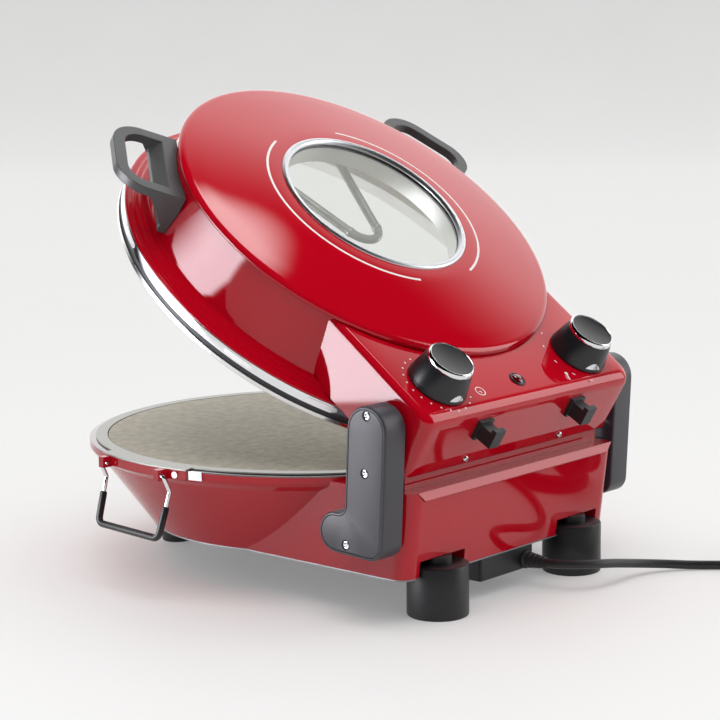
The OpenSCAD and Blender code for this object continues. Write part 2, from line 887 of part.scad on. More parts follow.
module hinge_pins() {
    color(STEEL)
    both_sides()
        translate([half_w - 12, pivot_y, pivot_z])
            rotate([0, 90, 0]) {
                cylinder(r = pin_r, h = arm_in_x + 13 - half_w + 12);
                cylinder(r = pin_r + 3, h = 2);
            }
}

// Bushes pressed into the lid's side walls, which turn on the pins.
module hinge_bushes() {
    color(STEEL)
    both_sides()
        translate([half_w, pivot_y, pivot_z])
            rotate([0, 90, 0])
                difference() {
                    union() {
                        translate([0, 0, -9]) cylinder(r = 7.95, h = 9);
                        translate([0, 0, -9]) cylinder(r = 10, h = 9 - sheet);
                        cylinder(r = pin_r + 4, h = arm_in_x - half_w - seat_gap);
                    }
                    translate([0, 0, -20]) cylinder(r = pin_r + run_gap, h = 40);
                }
}

// ---------- Lid ----------

function wall_line(inset) = [
    [wall_foot_r - inset, 19.5],
    [wall_foot_r - 1.5 - inset, 24],
    [wall_top_r + 0.8 - inset, 58],
    [wall_top_r - inset, dome_lip_h]];

// Side profile of the control box, drawn smaller by inset except at its open underside.
module control_box_solid(inset, low) {
    top = panel_h - inset;
    rear = panel_rear_y - inset;
    r = 10;
    slope = tan(rear_tilt);
    fold_y = rear - slope * (top - r - 17);
    front = wall_top_r - 88.5;
    corner = box_corner_r - 4;
    intersection() {
        translate([-half_w + inset, 0, 0])
            rotate([90, 0, 90])
                linear_extrude(box_w - 2 * inset)
                    union() {
                        polygon([[front, low], [rear + slope * (17 - low), low], [fold_y, top - r],
                            [fold_y - r, top], [front, top]]);
                        translate([fold_y - r, top - r]) circle(r = r);
                    }
        translate([0, 0, low - 1])
            linear_extrude(100)
                union() {
                    translate([-half_w + inset, front]) square([box_w - 2 * inset, rear - front - corner]);
                    translate([-half_w + corner, front]) square([box_w - 2 * corner, rear - front + 10]);
                    for (side = [-1, 1])
                        translate([side * (half_w - corner), rear - corner + 1]) circle(r = corner - inset);
                }
    }
}

module wall_solid(inset, low) {
    ring_of(concat([[0, low], [wall_foot_r - inset, low]], wall_line(inset), [[0, dome_lip_h]]));
}

box_low_h = 16.5;

module lid_shell() {
    color(RED)
    on_lid()
        difference() {
            union() {
                difference() {
                    union() {
                        wall_solid(0, 16);
                        control_box_solid(0, box_low_h);
                        // Flange with two pressed beads.
                        ring_of([[rim_r - 22, 12.7], [rim_r, 12.7], [rim_r, 14], [rim_r - 2, 15.2], [rim_r - 5, 15.4],
                            [rim_r - 6.5, 16.8], [rim_r - 9.5, 17], [rim_r - 11, 18.4],
                            [rim_r - 14.5, 18.8], [wall_foot_r, 19.6], [rim_r - 22, 19.6]]);
                    }
                    wall_solid(sheet, 10);
                    ring_of([[0, dome_edge_h - 6], [wall_top_r - 1.3, dome_edge_h - 6],
                        [wall_top_r - 1.3, dome_edge_h], [0, dome_edge_h]]);
                    ring_of([[rim_r - 32, 10], [rim_r - 1.3, 10], [rim_r - 1.3, 13.7], [rim_r - 3, 14],
                        [rim_r - 6, 14.2], [rim_r - 7, 15.4], [rim_r - 10.5, 15.6], [rim_r - 12, 17],
                        [wall_foot_r - 1, 17.6], [rim_r - 32, 17.6]]);
                }
                // Control box, hollow outside the round wall.
                difference() {
                    control_box_solid(0, box_low_h);
                    control_box_solid(sheet, 0);
                    wall_solid(sheet, 10);
                    ring_of([[0, 40], [wall_top_r - 1.3, 40], [wall_top_r - 1.3, 100], [0, 100]]);
                    ring_of([[0, 0], [rim_r - 1.3, 0], [rim_r - 1.3, 13.7], [0, 13.7]]);
                }
            }
            // Room inside the control box behind the round wall.
            difference() {
                control_box_solid(sheet, 0);
                ring_of([[0, -1], [rim_r + 0.01, -1], [rim_r + 0.01, 14], [rim_r - 2, 15.2],
                    [rim_r - 5, 15.4], [rim_r - 6.5, 16.8], [rim_r - 9.5, 17], [rim_r - 11, 18.4],
                    [rim_r - 14.5, 18.8], [wall_foot_r, 19.6], [wall_foot_r - 1.5, 24],
                    [wall_top_r + 0.8, 58], [wall_top_r, 70], [0, 70]]);
            }
            // Shaft holes, lamp hole and screw holes.
            for (side = [-1, 1]) {
                translate([side * knob_x, knob_y, panel_h - 5])
                    cylinder(r = shaft_r + 0.8, h = 10);
                translate([side * (half_w - 5) - 5, pivot_y, pivot_z - lid_z])
                    rotate([0, 90, 0])
                        cylinder(r = 8, h = 10);
            }
            translate([lamp_x, lamp_y, panel_h - 5]) cylinder(r = 4.5, h = 10);
            handle_screw_places() translate([0, 0, -1]) cylinder(r = 1.7, h = 20);
            // Ways out for the upper heater's two ends.
            for (side = [-1, 1])
                translate([side * upper_end_x, wall_top_r - 12, upper_element_h])
                    rotate([-90, 0, 0])
                        cylinder(r = tube_r + 0.6, h = 20);
            box_screw_places() translate([0, 0, -5]) cylinder(r = 1.4, h = 8);
        }
}

// Domed cover with a rolled edge that overhangs the side wall.
module lid_dome() {
    in_r = window_r - window_ring_w + 1;
    seat_h = dome_edge_h + dome_rise;
    lip = dome_lip_h;
    half_way = (dome_r + window_r) / 2 + 4;
    color(RED)
    on_lid()
        ring_of([[wall_top_r - 6, lip], [wall_top_r + 1.5, lip], [dome_r - 0.6, lip + 1.6],
            [dome_r, lip + 3.2], [dome_r - 0.6, dome_edge_h],
            [half_way, dome_edge_h + dome_rise * 0.55], [window_r + 9, seat_h - 0.6],
            [window_r, seat_h], [in_r, seat_h], [in_r, seat_h - sheet],
            [window_r, seat_h - sheet], [window_r + 9, seat_h - 1.8],
            [half_way, dome_edge_h + dome_rise * 0.55 - 1.3],
            [dome_r - 2.4, dome_edge_h - 1.4], [wall_top_r, lip + 1.2], [wall_top_r - 6, lip + 1.2]]);
}

module lid_ring() {
    color(CHROME)
    on_lid()
        ring_of([[rim_r, 5.7], [rim_r, 12.7], [rim_r - 12, 12.7], [rim_r - 12, 11.5],
            [rim_r - 1.2, 11.5], [rim_r - 1.2, 5.7]]);
}

module lid_gasket() {
    color(BLACK)
    on_lid()
        ring_of([[rim_r - 5.5, 1.7], [rim_r - 0.8, 1.7], [rim_r - 0.8, 5.7], [rim_r - 1.2, 5.7],
            [rim_r - 1.2, 11.5], [rim_r - 5.5, 11.5]]);
}

// Bright inner pan of the lid: the rim bead and the cone, with a narrow ledge at its top.
reflector_h = 60;
reflector_t = 0.8;
cone_top_r = wall_top_r - 9;
glass_r = window_r - window_ring_w + 2.6;
glass_low_h = dome_edge_h + dome_rise - sheet - glass_t;

module lid_reflector() {
    t = reflector_t;
    color(STEEL)
    on_lid()
        difference() {
            ring_of([[rim_r - 4, -1.5], [rim_r, -1.5], [rim_r, 1.7], [rim_r - 14, 1.7],
                [wall_foot_r - 8, 15], [cone_top_r, reflector_h], [cone_top_r - 6, reflector_h],
                [cone_top_r - 6, reflector_h - t], [cone_top_r - t, reflector_h - t],
                [wall_foot_r - 8 - t, 15], [rim_r - 14.6, 0.9], [rim_r - 4, 0.9]]);
            for (side = [-1, 1])
                translate([side * upper_end_x, 100, upper_element_h])
                    rotate([-90, 0, 0])
                        cylinder(r = tube_r + 1.2, h = cone_top_r - 80);
        }
}

// Crown plate laid on the pan's ledge, with the tube that rises to the window.
module reflector_crown() {
    t = reflector_t;
    tube_out = glass_r - 1.5;
    color(STEEL)
    on_lid()
        ring_of([[tube_out - t, reflector_h], [cone_top_r - 0.5, reflector_h],
            [cone_top_r - 0.5, reflector_h + t], [tube_out, reflector_h + t],
            [tube_out, glass_low_h - 1.5], [tube_out - t, glass_low_h - 1.5]]);
}

// Heart-shaped tube: a ring whose front dips to a bend under the window.
upper_element_h = 54;
upper_ring_r = wall_top_r - 40.5;
upper_end_x = 13;
notch_x = 50;
bend_r = 16;
bend_y = -2;

module upper_element() {
    rear_half = asin(upper_end_x / upper_ring_r);
    front_half = asin(notch_x / upper_ring_r);
    leg_start = [notch_x, -upper_ring_r * cos(front_half), 0];
    rear_end = [upper_end_x, upper_ring_r * cos(rear_half), 0];
    from_bend = leg_start - [0, bend_y, 0];
    leg_tilt = 90 + atan2(from_bend[1], from_bend[0]) - asin(bend_r / norm(from_bend));
    bend_end = [bend_r * cos(leg_tilt), bend_y + bend_r * sin(leg_tilt), 0];
    color([0.45, 0.45, 0.45])
    on_lid()
        translate([0, 0, upper_element_h]) {
            translate([0, bend_y, 0])
                rotate([0, 0, leg_tilt])
                    torus(bend_r, tube_r, 180 - 2 * leg_tilt);
            for (side = [-1, 1]) {
                rotate([0, 0, side > 0 ? front_half - 90 : 90 + rear_half])
                    torus(upper_ring_r, tube_r, 180 - rear_half - front_half);
                for (p = [leg_start, bend_end, rear_end])
                    translate(swap_side_x(p, side)) sphere(r = tube_r + 0.6, $fn = 32);
                rod(swap_side_x(leg_start, side), swap_side_x(bend_end, side), tube_r);
                rod(swap_side_x(rear_end, side), [side * upper_end_x, wall_top_r + 2, 0], tube_r);
            }
        }
}

module window_glass() {
    color([0.8, 0.84, 0.8, 0.5])
    on_lid()
        translate([0, 0, glass_low_h])
            cylinder(r = glass_r, h = glass_t, $fn = 180);
}

module window_seal() {
    color([0.2, 0.2, 0.2])
    on_lid()
        ring_of([[glass_r - 2.5, glass_low_h - 1.5], [glass_r + 2.5, glass_low_h - 1.5],
            [glass_r + 2.5, glass_low_h + glass_t], [glass_r, glass_low_h + glass_t],
            [glass_r, glass_low_h], [glass_r - 2.5, glass_low_h]]);
}

module window_ring() {
    seat_h = dome_edge_h + dome_rise;
    in_r = window_r - window_ring_w;
    color(CHROME)
    on_lid()
        ring_of([[in_r, seat_h - sheet], [in_r + 1, seat_h - sheet], [in_r + 1, seat_h], [window_r, seat_h],
            [window_r, seat_h + 1], [window_r - 2, seat_h + 2.2], [in_r + 1.4, seat_h + 1.4], [in_r, seat_h]]);
}

// ---------- Lid handles ----------

handle_seat = wall_foot_r - 1;
handle_screw_h = 44;

// Places a handle: x runs outward from the lid's centre, z up from the ring plane.
module at_handle(angle) {
    on_lid() rotate([0, 0, -angle]) children();
}

// The loop's outline: a rounded rectangle from the mounting block to the outer edge.
bar_w = 9;
ridge_x = handle_seat + 4;
web_x = handle_seat + 11;

module grip_outline(inset) {
    corner = 24 - inset;
    x = handle_r - 24;
    y = handle_w / 2 - 24;
    translate([handle_seat - 6, -handle_w / 2 + inset]) square([x - handle_seat + 6, handle_w - 2 * inset]);
    translate([x, -y]) square([24 - inset, 2 * y]);
    for (side = [-1, 1]) translate([x, side * y]) circle(r = corner);
}

// Bent bracket whose foot wraps the lid's side wall and whose loop is the grip.
module lid_handle() {
    top = handle_top_h;
    low = top - grip_t;
    under_x = handle_seat + 17;
    color(BLACK)
    difference() {
        union() {
            translate([0, 0, low]) linear_extrude(grip_t) grip_outline(0);
            translate([0, handle_w / 2, 0])
                rotate([90, 0, 0])
                    linear_extrude(handle_w)
                        polygon([[handle_seat - 8, 25], [handle_seat + 0.5, 25], [handle_seat + 1.5, 27],
                            [handle_seat + 1.5, 31.5], [handle_seat + 8.5, 41.8], [under_x, low],
                            [under_x, top], [handle_seat - 8, top]]);
        }
        difference() {
            translate([0, 0, 30]) linear_extrude(top - 29) grip_outline(bar_w);
            translate([0, handle_w / 2, 0])
                rotate([90, 0, 0])
                    linear_extrude(handle_w)
                        polygon([[0, 20], [web_x, 20], [web_x, top - 9.5], [ridge_x, top],
                            [ridge_x, top + 5], [0, top + 5]]);
        }
        // The foot follows the round wall.
        ring_of([[0, 10], [wall_foot_r + 0.3, 10], [wall_foot_r + 0.3, 19.5], [wall_foot_r - 1.2, 24],
            [wall_top_r + 1.1, 58], [wall_top_r + 1.1, 70], [0, 70]]);
        for (side = [-1, 1])
            translate([120, side * 24, handle_screw_h])
                rotate([0, 90, 0])
                    cylinder(r = 1.6, h = wall_foot_r + 6 - 120);
    }
}

module lid_handle_left() {
    at_handle(handle_angle) lid_handle();
}

module lid_handle_right() {
    mirror([1, 0, 0]) at_handle(right_handle_angle) lid_handle();
}

// Inner ends of the handle screws; z runs outward through the lid's wall.
module handle_screw_pair(angle) {
    rotate([0, 0, -angle])
        for (side = [-1, 1])
            translate([wall_foot_r - 10.8, side * 24, handle_screw_h])
                rotate([0, 90, 0])
                    children();
}

module handle_screw_places() {
    handle_screw_pair(handle_angle) children();
    mirror([1, 0, 0]) handle_screw_pair(right_handle_angle) children();
}

module handle_screws() {
    color(STEEL)
    on_lid()
        handle_screw_places() {
            cylinder(r = 1.5, h = 15.2);
            cylinder(r = 3.5, h = 2);
        }
}

// ---------- Control box ----------

rear_tilt = atan(5 / 44);

// Screws in the rear wall's lower edge; z runs out of the wall.
module box_screw_places() {
    for (side = [-1, 1])
        translate([side * 55.1, panel_rear_y - (20.8 - 17) * tan(rear_tilt) + 0.05, 20.8])
            rotate([rear_tilt - 90, 0, 0])
                children();
}

// Plate under the control box, with a flange up its rear edge for the screws.
module control_box_cover() {
    low = 17.2;
    fit = sheet + seat_gap;
    color([0.3, 0.3, 0.31])
    on_lid()
        difference() {
            intersection() {
                control_box_solid(fit, 0);
                union() {
                    translate([-half_w, 0, low]) cube([box_w, panel_rear_y, sheet]);
                    translate([-half_w + 20, panel_rear_y - 12, low]) cube([box_w - 40, 20, 8]);
                }
            }
            difference() {
                control_box_solid(fit + sheet, 0);
                translate([-half_w, 0, 0]) cube([box_w, panel_rear_y + 10, low + sheet]);
            }
            cylinder(r = rim_r + seat_gap, h = 60, $fn = 180);
            translate([-40, pivot_y, 0]) cube([80, 10, 60]);
            box_screw_places() translate([0, 0, -7]) cylinder(r = 1.4, h = 10);
        }
}

module control_box_screws() {
    color(STEEL)
    on_lid()
        box_screw_places() {
            cylinder(r = 2.6, h = 1.6);
            translate([0, 0, -6]) cylinder(r = 1.2, h = 6.5);
        }
}

// Hook that the cord is wound on: a post with an outward lip.
hook_x = 54;

module cord_hook() {
    color(BLACK)
    on_lid()
        translate([hook_x, panel_rear_y - (48 - 17) * tan(rear_tilt), 48])
            rotate([rear_tilt, 0, 0]) {
                translate([-7.5, 0, -7.5]) cube([15, 3, 15]);
                translate([-5.5, 1, -6]) cube([11, 14, 11]);
                translate([-5.5, 12, -6]) cube([11, 4, 14]);
            }
}

module cord_hook_left() { cord_hook(); }
module cord_hook_right() { mirror([1, 0, 0]) cord_hook(); }

module knob() {
    skirt = 0.6;
    color(BLACK)
    difference() {
        rotate_extrude()
            polygon([[0, skirt], [knob_r, skirt], [knob_r, skirt + 2], [knob_top_r + 0.3, knob_h - 4],
                [knob_top_r, knob_h - 1.5], [knob_top_r - 1, knob_h], [0, knob_h]]);
        translate([0, 0, -1]) cylinder(r = shaft_r + run_gap, h = 14);
    }
}

module timer_knob() {
    on_lid() translate([knob_x, knob_y, panel_h]) knob();
}

module thermostat_knob() {
    on_lid() translate([-knob_x, knob_y, panel_h]) knob();
}

// Clockwork or switch behind the panel, with the shaft that carries the knob.
module control_body(size) {
    color(STEEL) {
        translate([-size / 2, -size / 2, -sheet - 26]) cube([size, size, 26]);
        translate([0, 0, -sheet - 1]) cylinder(r = shaft_r, h = 12 + sheet);
    }
}

module timer_body() {
    on_lid() translate([knob_x, knob_y, panel_h]) control_body(34);
}

module thermostat_body() {
    on_lid() translate([-knob_x, knob_y, panel_h]) control_body(30);
}

module pilot_lamp() {
    color([0.35, 0.02, 0.04])
    on_lid()
        translate([lamp_x, lamp_y, panel_h]) {
            translate([0, 0, -14]) cylinder(r = 4.2, h = 14.5);
            cylinder(r = 6.5, h = 1.2);
            cylinder(r = 5, h = 2.4);
        }
}

in_frame() base_shell();
in_frame() rear_neck();
in_frame() rear_ledge();
in_frame() base_rim_ring();
in_frame() base_liner();
in_frame() lower_element();
in_frame() element_clips();
in_frame() terminal_block();
in_frame() spindle();
in_frame() bottom_cover();
in_frame() rear_foot_left();
in_frame() rear_foot_right();
in_frame() front_foot_left();
in_frame() front_foot_right();
in_frame() foot_screws();
in_frame() cable_box();
in_frame() cord_gland();
in_frame() power_cord();
in_frame() cord_coil();
in_frame() coil_tie();
in_frame() plug();
in_frame() plug_pins();
in_frame() hinge_arm_left();
in_frame() hinge_arm_right();
in_frame() arm_cover_left();
in_frame() arm_cover_right();
in_frame() arm_screws();
in_frame() hinge_pins();
in_frame() hinge_bushes();
in_frame() lid_shell();
in_frame() lid_dome();
in_frame() lid_ring();
in_frame() lid_gasket();
in_frame() lid_reflector();
in_frame() reflector_crown();
in_frame() upper_element();
in_frame() window_glass();
in_frame() window_ring();
in_frame() window_seal();
in_frame() lid_handle_left();
in_frame() lid_handle_right();
in_frame() handle_screws();
in_frame() control_box_cover();
in_frame() control_box_screws();
in_frame() cord_hook_left();
in_frame() cord_hook_right();
in_frame() timer_knob();
in_frame() thermostat_knob();
in_frame() timer_body();
in_frame() thermostat_body();
in_frame() pilot_lamp();
in_frame() stone_carrier();
in_frame() baking_stone();
in_frame() turn_strap();
in_frame() strap_plate();
in_frame() strap_screw();
in_frame() bail_wire();
in_frame() bail_sleeve();
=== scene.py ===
import json
from math import asin, atan, atan2, cos, degrees, pi, radians, sin, sqrt, tan

import bmesh
import bpy
from mathutils import Matrix, Vector


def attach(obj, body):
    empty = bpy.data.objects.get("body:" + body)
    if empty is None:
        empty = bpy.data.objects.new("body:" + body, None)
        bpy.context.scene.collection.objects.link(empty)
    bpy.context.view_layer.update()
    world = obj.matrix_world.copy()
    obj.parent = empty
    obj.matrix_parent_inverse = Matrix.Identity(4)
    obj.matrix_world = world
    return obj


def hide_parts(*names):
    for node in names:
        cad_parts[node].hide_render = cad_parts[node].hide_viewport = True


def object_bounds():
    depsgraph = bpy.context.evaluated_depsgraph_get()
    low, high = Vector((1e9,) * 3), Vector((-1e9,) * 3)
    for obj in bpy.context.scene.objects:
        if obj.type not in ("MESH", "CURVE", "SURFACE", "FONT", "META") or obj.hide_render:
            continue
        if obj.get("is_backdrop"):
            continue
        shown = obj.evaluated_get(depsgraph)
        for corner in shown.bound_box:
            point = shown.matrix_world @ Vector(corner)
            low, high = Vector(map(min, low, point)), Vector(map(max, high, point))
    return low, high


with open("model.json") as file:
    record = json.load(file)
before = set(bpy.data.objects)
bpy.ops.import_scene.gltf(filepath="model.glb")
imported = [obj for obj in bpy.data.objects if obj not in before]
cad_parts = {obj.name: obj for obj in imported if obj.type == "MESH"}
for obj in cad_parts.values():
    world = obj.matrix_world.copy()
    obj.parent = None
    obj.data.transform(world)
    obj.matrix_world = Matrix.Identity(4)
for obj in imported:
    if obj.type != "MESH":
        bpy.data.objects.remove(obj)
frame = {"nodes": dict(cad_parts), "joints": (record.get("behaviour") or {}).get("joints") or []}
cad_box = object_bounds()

# ---------- Camera ----------
# The cooker is seen from behind its left-hand hinge arm, a little above the table. A long lens
# keeps the perspective slight.
MM = 0.001
scene = bpy.context.scene
view_azimuth = radians(131.18)
view_height = radians(9.45)
view_roll = radians(-0.58)
view_centre = Vector((-3.5, 21.64, 155.66)) * MM
view_distance = 1748.45 * MM
lens_length = 115.857

toward_camera = Vector((
    sin(view_azimuth) * cos(view_height), -cos(view_azimuth) * cos(view_height), sin(view_height)))
level_right = Vector((cos(view_azimuth), sin(view_azimuth), 0))
view_right = level_right * cos(view_roll) + toward_camera.cross(level_right) * sin(view_roll)
view_up = toward_camera.cross(view_right)
camera = bpy.data.objects.new("camera", bpy.data.cameras.new("camera"))
camera.data.lens = lens_length
camera.data.sensor_width = 36
camera.matrix_world = (
    Matrix.Translation(view_centre + toward_camera * view_distance)
    @ Matrix((view_right, view_up, toward_camera)).transposed().to_4x4())
scene.collection.objects.link(camera)
scene.camera = camera
scene.view_settings.view_transform = "Standard"

# ---------- Power cord ----------
# Round black two-core mains lead with a soft matt jacket. It leaves the cable box at the rear,
# comes down to the table past the rear foot, and its spare length is wound in a flat coil.
joints = {joint["name"]: joint for joint in frame["joints"]}
bowl_axis = Vector(joints["turntable_turn"]["pos_m"])
at_base = Matrix.Translation((bowl_axis.x, bowl_axis.y, 0)) @ Matrix.Scale(MM, 4)


def noise(tree, place, scale, detail):
    """Soft spots over a surface, of a given fineness."""
    spots = tree.nodes.new("ShaderNodeTexNoise")
    spots.inputs["Scale"].default_value = scale
    spots.inputs["Detail"].default_value = detail
    tree.links.new(place, spots.inputs["Vector"])
    return spots.outputs["Fac"]


def ramp(tree, value, low, high, to_low=0, to_high=1, kind="SMOOTHSTEP"):
    """A value carried over from one range to another."""
    node = tree.nodes.new("ShaderNodeMapRange")
    node.interpolation_type = kind
    for socket, number in (("From Min", low), ("From Max", high), ("To Min", to_low), ("To Max", to_high)):
        node.inputs[socket].default_value = number
    tree.links.new(value, node.inputs["Value"])
    return node.outputs["Result"]


def finish(name, colour, roughness, drift=0.08, patch=40, grain=0.0, grain_size=1500,
           metallic=0.0, coat=0.0, soft_edge=0.0, shine=0.5):
    """A surface whose colour and gloss drift from patch to patch, with a fine grain in relief."""
    coat_roughness, gloss_drift, grain_depth = 0.05, 0.12, 0.2 * MM
    material = bpy.data.materials.new(name)
    material.use_nodes = True
    tree = material.node_tree
    nodes, link = tree.nodes, tree.links.new
    shader = nodes["Principled BSDF"]
    for socket, number in (("Metallic", metallic), ("Specular IOR Level", shine), ("Coat Weight", coat),
                           ("Coat Roughness", coat_roughness)):
        shader.inputs[socket].default_value = number
    place = nodes.new("ShaderNodeTexCoord").outputs["Object"]
    patches = noise(tree, place, patch, 6)
    shades = nodes.new("ShaderNodeValToRGB")
    for stop, position, change in zip(shades.color_ramp.elements, (0.3, 0.7), (1 - drift, 1 + drift)):
        stop.position = position
        stop.color = [min(1, c * change) for c in colour] + [1]
    link(patches, shades.inputs["Fac"])
    link(shades.outputs["Color"], shader.inputs["Base Color"])
    dull, bright = roughness * (1 - gloss_drift), min(1, roughness * (1 + gloss_drift))
    link(ramp(tree, patches, 0, 1, dull, bright, "LINEAR"), shader.inputs["Roughness"])
    normal = None
    if soft_edge:
        edge = nodes.new("ShaderNodeBevel")
        edge.samples = 4
        edge.inputs["Radius"].default_value = soft_edge * MM
        normal = edge.outputs["Normal"]
    if grain:
        bump = nodes.new("ShaderNodeBump")
        bump.inputs["Strength"].default_value = grain
        bump.inputs["Distance"].default_value = grain_depth
        link(noise(tree, place, grain_size, 3), bump.inputs["Height"])
        if normal:
            link(normal, bump.inputs["Normal"])
        normal = bump.outputs["Normal"]
    if normal:
        link(normal, shader.inputs["Normal"])
    return material


def add(obj, material, body, stands_for=()):
    """Links a new piece to the body it moves with, and hides the drawn parts it stands for."""
    scene.collection.objects.link(obj)
    obj.data.materials.append(material)
    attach(obj, body)
    if stands_for:
        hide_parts(*stands_for)
    return obj


def welded(name, form, place):
    """A clean mesh from points and faces, in millimetres before place moves them."""
    points, faces = form
    mesh = bpy.data.meshes.new(name)
    mesh.from_pydata([place @ Vector(p) for p in points], [], faces)
    work = bmesh.new()
    work.from_mesh(mesh)
    bmesh.ops.remove_doubles(work, verts=work.verts, dist=0.002 * MM)
    bmesh.ops.dissolve_degenerate(work, edges=work.edges, dist=0.001 * MM)
    bmesh.ops.triangulate(work, faces=[f for f in work.faces if len(f.verts) > 4])
    bmesh.ops.recalc_face_normals(work, faces=work.faces)
    work.to_mesh(mesh)
    work.free()
    return mesh


def creased(mesh, angle=32):
    """Smooth shading, with crisp creases at edges sharper than an angle in degrees."""
    mesh.shade_smooth()
    mesh.set_sharp_from_angle(angle=radians(angle))


def piece(name, form, place, material, body, stands_for=(), crease=32):
    """A new piece whose shape is a form set in its place."""
    mesh = welded(name, form, place)
    creased(mesh, crease)
    return add(bpy.data.objects.new(name, mesh), material, body, stands_for)


def joined(*forms):
    """Several forms as one."""
    points, faces = [], []
    for more_points, more_faces in forms:
        shift = len(points)
        points += more_points
        faces += [[i + shift for i in face] for face in more_faces]
    return points, faces


def moved(form, matrix):
    """The form with all its points moved."""
    return [matrix @ Vector(p) for p in form[0]], form[1]


def skin(loops, around=True, joined_ends=False):
    """Quads between loops of equally many points, with the first and last loops filled."""
    count = len(loops[0])
    points = [p for loop in loops for p in loop]
    rows = len(loops) if joined_ends else len(loops) - 1
    columns = count if around else count - 1
    faces = []
    for i in range(rows):
        for k in range(columns):
            here, there = i * count, ((i + 1) % len(loops)) * count
            after = (k + 1) % count
            faces.append([here + k, here + after, there + after, there + k])
    if around and not joined_ends:
        faces.append(list(range(count))[::-1])
        faces.append([(len(loops) - 1) * count + k for k in range(count)])
    return points, faces


def turned(outline, steps=160, start=0.0, sweep=360.0):
    """An outline of radius and height, closed on itself, turned about the upright axis."""
    whole = sweep >= 359.99
    count = steps if whole else steps + 1
    loops = []
    for i in range(count):
        a = radians(start + sweep * i / steps)
        loops.append([(r * cos(a), r * sin(a), z) for r, z in outline])
    return skin(loops, joined_ends=whole)


def through(points, steps):
    """A smooth line through points, with steps to each stretch."""
    ends = [points[0] * 2 - points[1]] + points + [points[-1] * 2 - points[-2]]
    line = []
    for a, b, c, d in zip(ends, ends[1:], ends[2:], ends[3:]):
        for i in range(steps):
            t = i / steps
            line.append(0.5 * (2 * b + (c - a) * t + (2 * a - 5 * b + 4 * c - d) * t ** 2
                               + (3 * b - a - 3 * c + d) * t ** 3))
    return line + [points[-1]]


cord_radius = 3.3
route = [(-22, 208, 19.3), (-22.8, 215.6, 19.7), (-25.8, 222.6, 20), (-30.6, 228.6, 20),
         (-36.8, 233, 19.6), (-44, 235.6, 18.8), (-52, 236.6, 17.7), (-64, 236.8, 15.6),
         (-77, 236.8, 13), (-90, 237.4, 10.4), (-102.4, 240, 8.2), (-114, 244.6, 6.4),
         (-124.6, 250.8, 4.9), (-134, 258.2, 3.8), (-142.4, 266.8, 3.4), (-149.6, 276, 3.4),
         (-156, 286, 3.4), (-161.6, 296.8, 3.4), (-166, 308, 3.4), (-169, 320, 3.4)]
coil_centre = Vector((-209.3, 320, 0))
coil_middle = 37
coil_steps = 40
# Each turn's ring: outer or inner, lower or upper layer.
coil_rings = [(1, 0), (-1, 0), (-1, 1), (1, 1)]
last_turn_share = 0.53
shift_share = 0.22
rise_steps, rise_pull = 8, 0.42

plug_tail_radius = 11
plug_face_radius = 18
plug_length = 36
plug_grip = 14
plug_tip = atan((plug_face_radius - plug_tail_radius) / (plug_length - plug_grip))
coil_height = 4 * cord_radius + 0.4
plug_tail = coil_centre + Vector((
    -plug_length / 2, -coil_middle, coil_height + 0.1 + plug_tail_radius * cos(plug_tip)))
plug_axis = Vector((cos(plug_tip), 0, sin(plug_tip)))


def ring_size(turn):
    side, layer = coil_rings[turn]
    return coil_middle + side * cord_radius, cord_radius + 0.1 + layer * 2 * cord_radius


coil = []
turns_wound = len(coil_rings) - 1 + last_turn_share
for step in range(1, int(turns_wound * coil_steps) + 1):
    wound = step / coil_steps
    turn = min(int(wound), len(coil_rings) - 1)
    radius, height = ring_size(turn)
    share = wound - turn
    if turn and share < shift_share:
        # The cord crosses to its next ring over the first part of each turn.
        ease = (1 - cos(pi * share / shift_share)) / 2
        old_radius, old_height = ring_size(turn - 1)
        radius = old_radius + (radius - old_radius) * ease
        height = old_height + (height - old_height) * ease
    way = 2 * pi * wound
    coil.append(coil_centre + Vector((radius * cos(way), radius * sin(way), height)))
leaving = (coil[-1] - coil[-2]).normalized()
reach = (plug_tail - coil[-1]).length
rise = []
for step in range(1, rise_steps + 1):
    t = step / rise_steps
    a, b = coil[-1], coil[-1] + leaving * reach * rise_pull
    c, d = plug_tail - plug_axis * reach * rise_pull, plug_tail
    rise.append(a * (1 - t) ** 3 + b * 3 * t * (1 - t) ** 2 + c * 3 * t ** 2 * (1 - t) + d * t ** 3)
cord_line = through([Vector(p) for p in route], 4) + coil + rise

jacket = finish("cord jacket", (0.018, 0.018, 0.019), 0.5, grain=0.15, grain_size=900)
curve = bpy.data.curves.new("mains_cord", "CURVE")
curve.dimensions = "3D"
curve.bevel_depth = cord_radius * MM
curve.bevel_resolution = 5
curve.use_fill_caps = True
spline = curve.splines.new("POLY")
spline.points.add(len(cord_line) - 1)
for point, place in zip(spline.points, cord_line):
    point.co = (*(at_base @ place), 1)
mains_cord = add(bpy.data.objects.new("mains_cord", curve), jacket, "base",
                 ("power_cord", "cord_coil"))

# A twisted tie round the coil, drawn as a thin flat band.
tie_angle = radians(100)
tie_half = 4
tie_thick = 0.8
tie_gap = 0.2


def corner_arc(before, here, after, radius, steps):
    """An arc that rounds off the corner at here, from its first side to the next."""
    back, on = (before - here).normalized(), (after - here).normalized()
    half = back.angle(on) / 2
    middle = here + (back + on).normalized() * radius / sin(half)
    a, b = [here + side * radius / tan(half) - middle for side in (back, on)]
    whole = a.angle(b)
    return [middle + (a * sin((1 - k / steps) * whole) + b * sin(k / steps * whole)) / sin(whole)
            for k in range(steps + 1)]


def rounded(corners, steps=6):
    """A closed outline whose corners (x, y, radius) are rounded off."""
    line = []
    for i, (x, y, radius) in enumerate(corners):
        before, after = [Vector(corners[k % len(corners)][:2]) for k in (i - 1, i + 1)]
        line += corner_arc(before, Vector((x, y)), after, radius, steps)
    return line


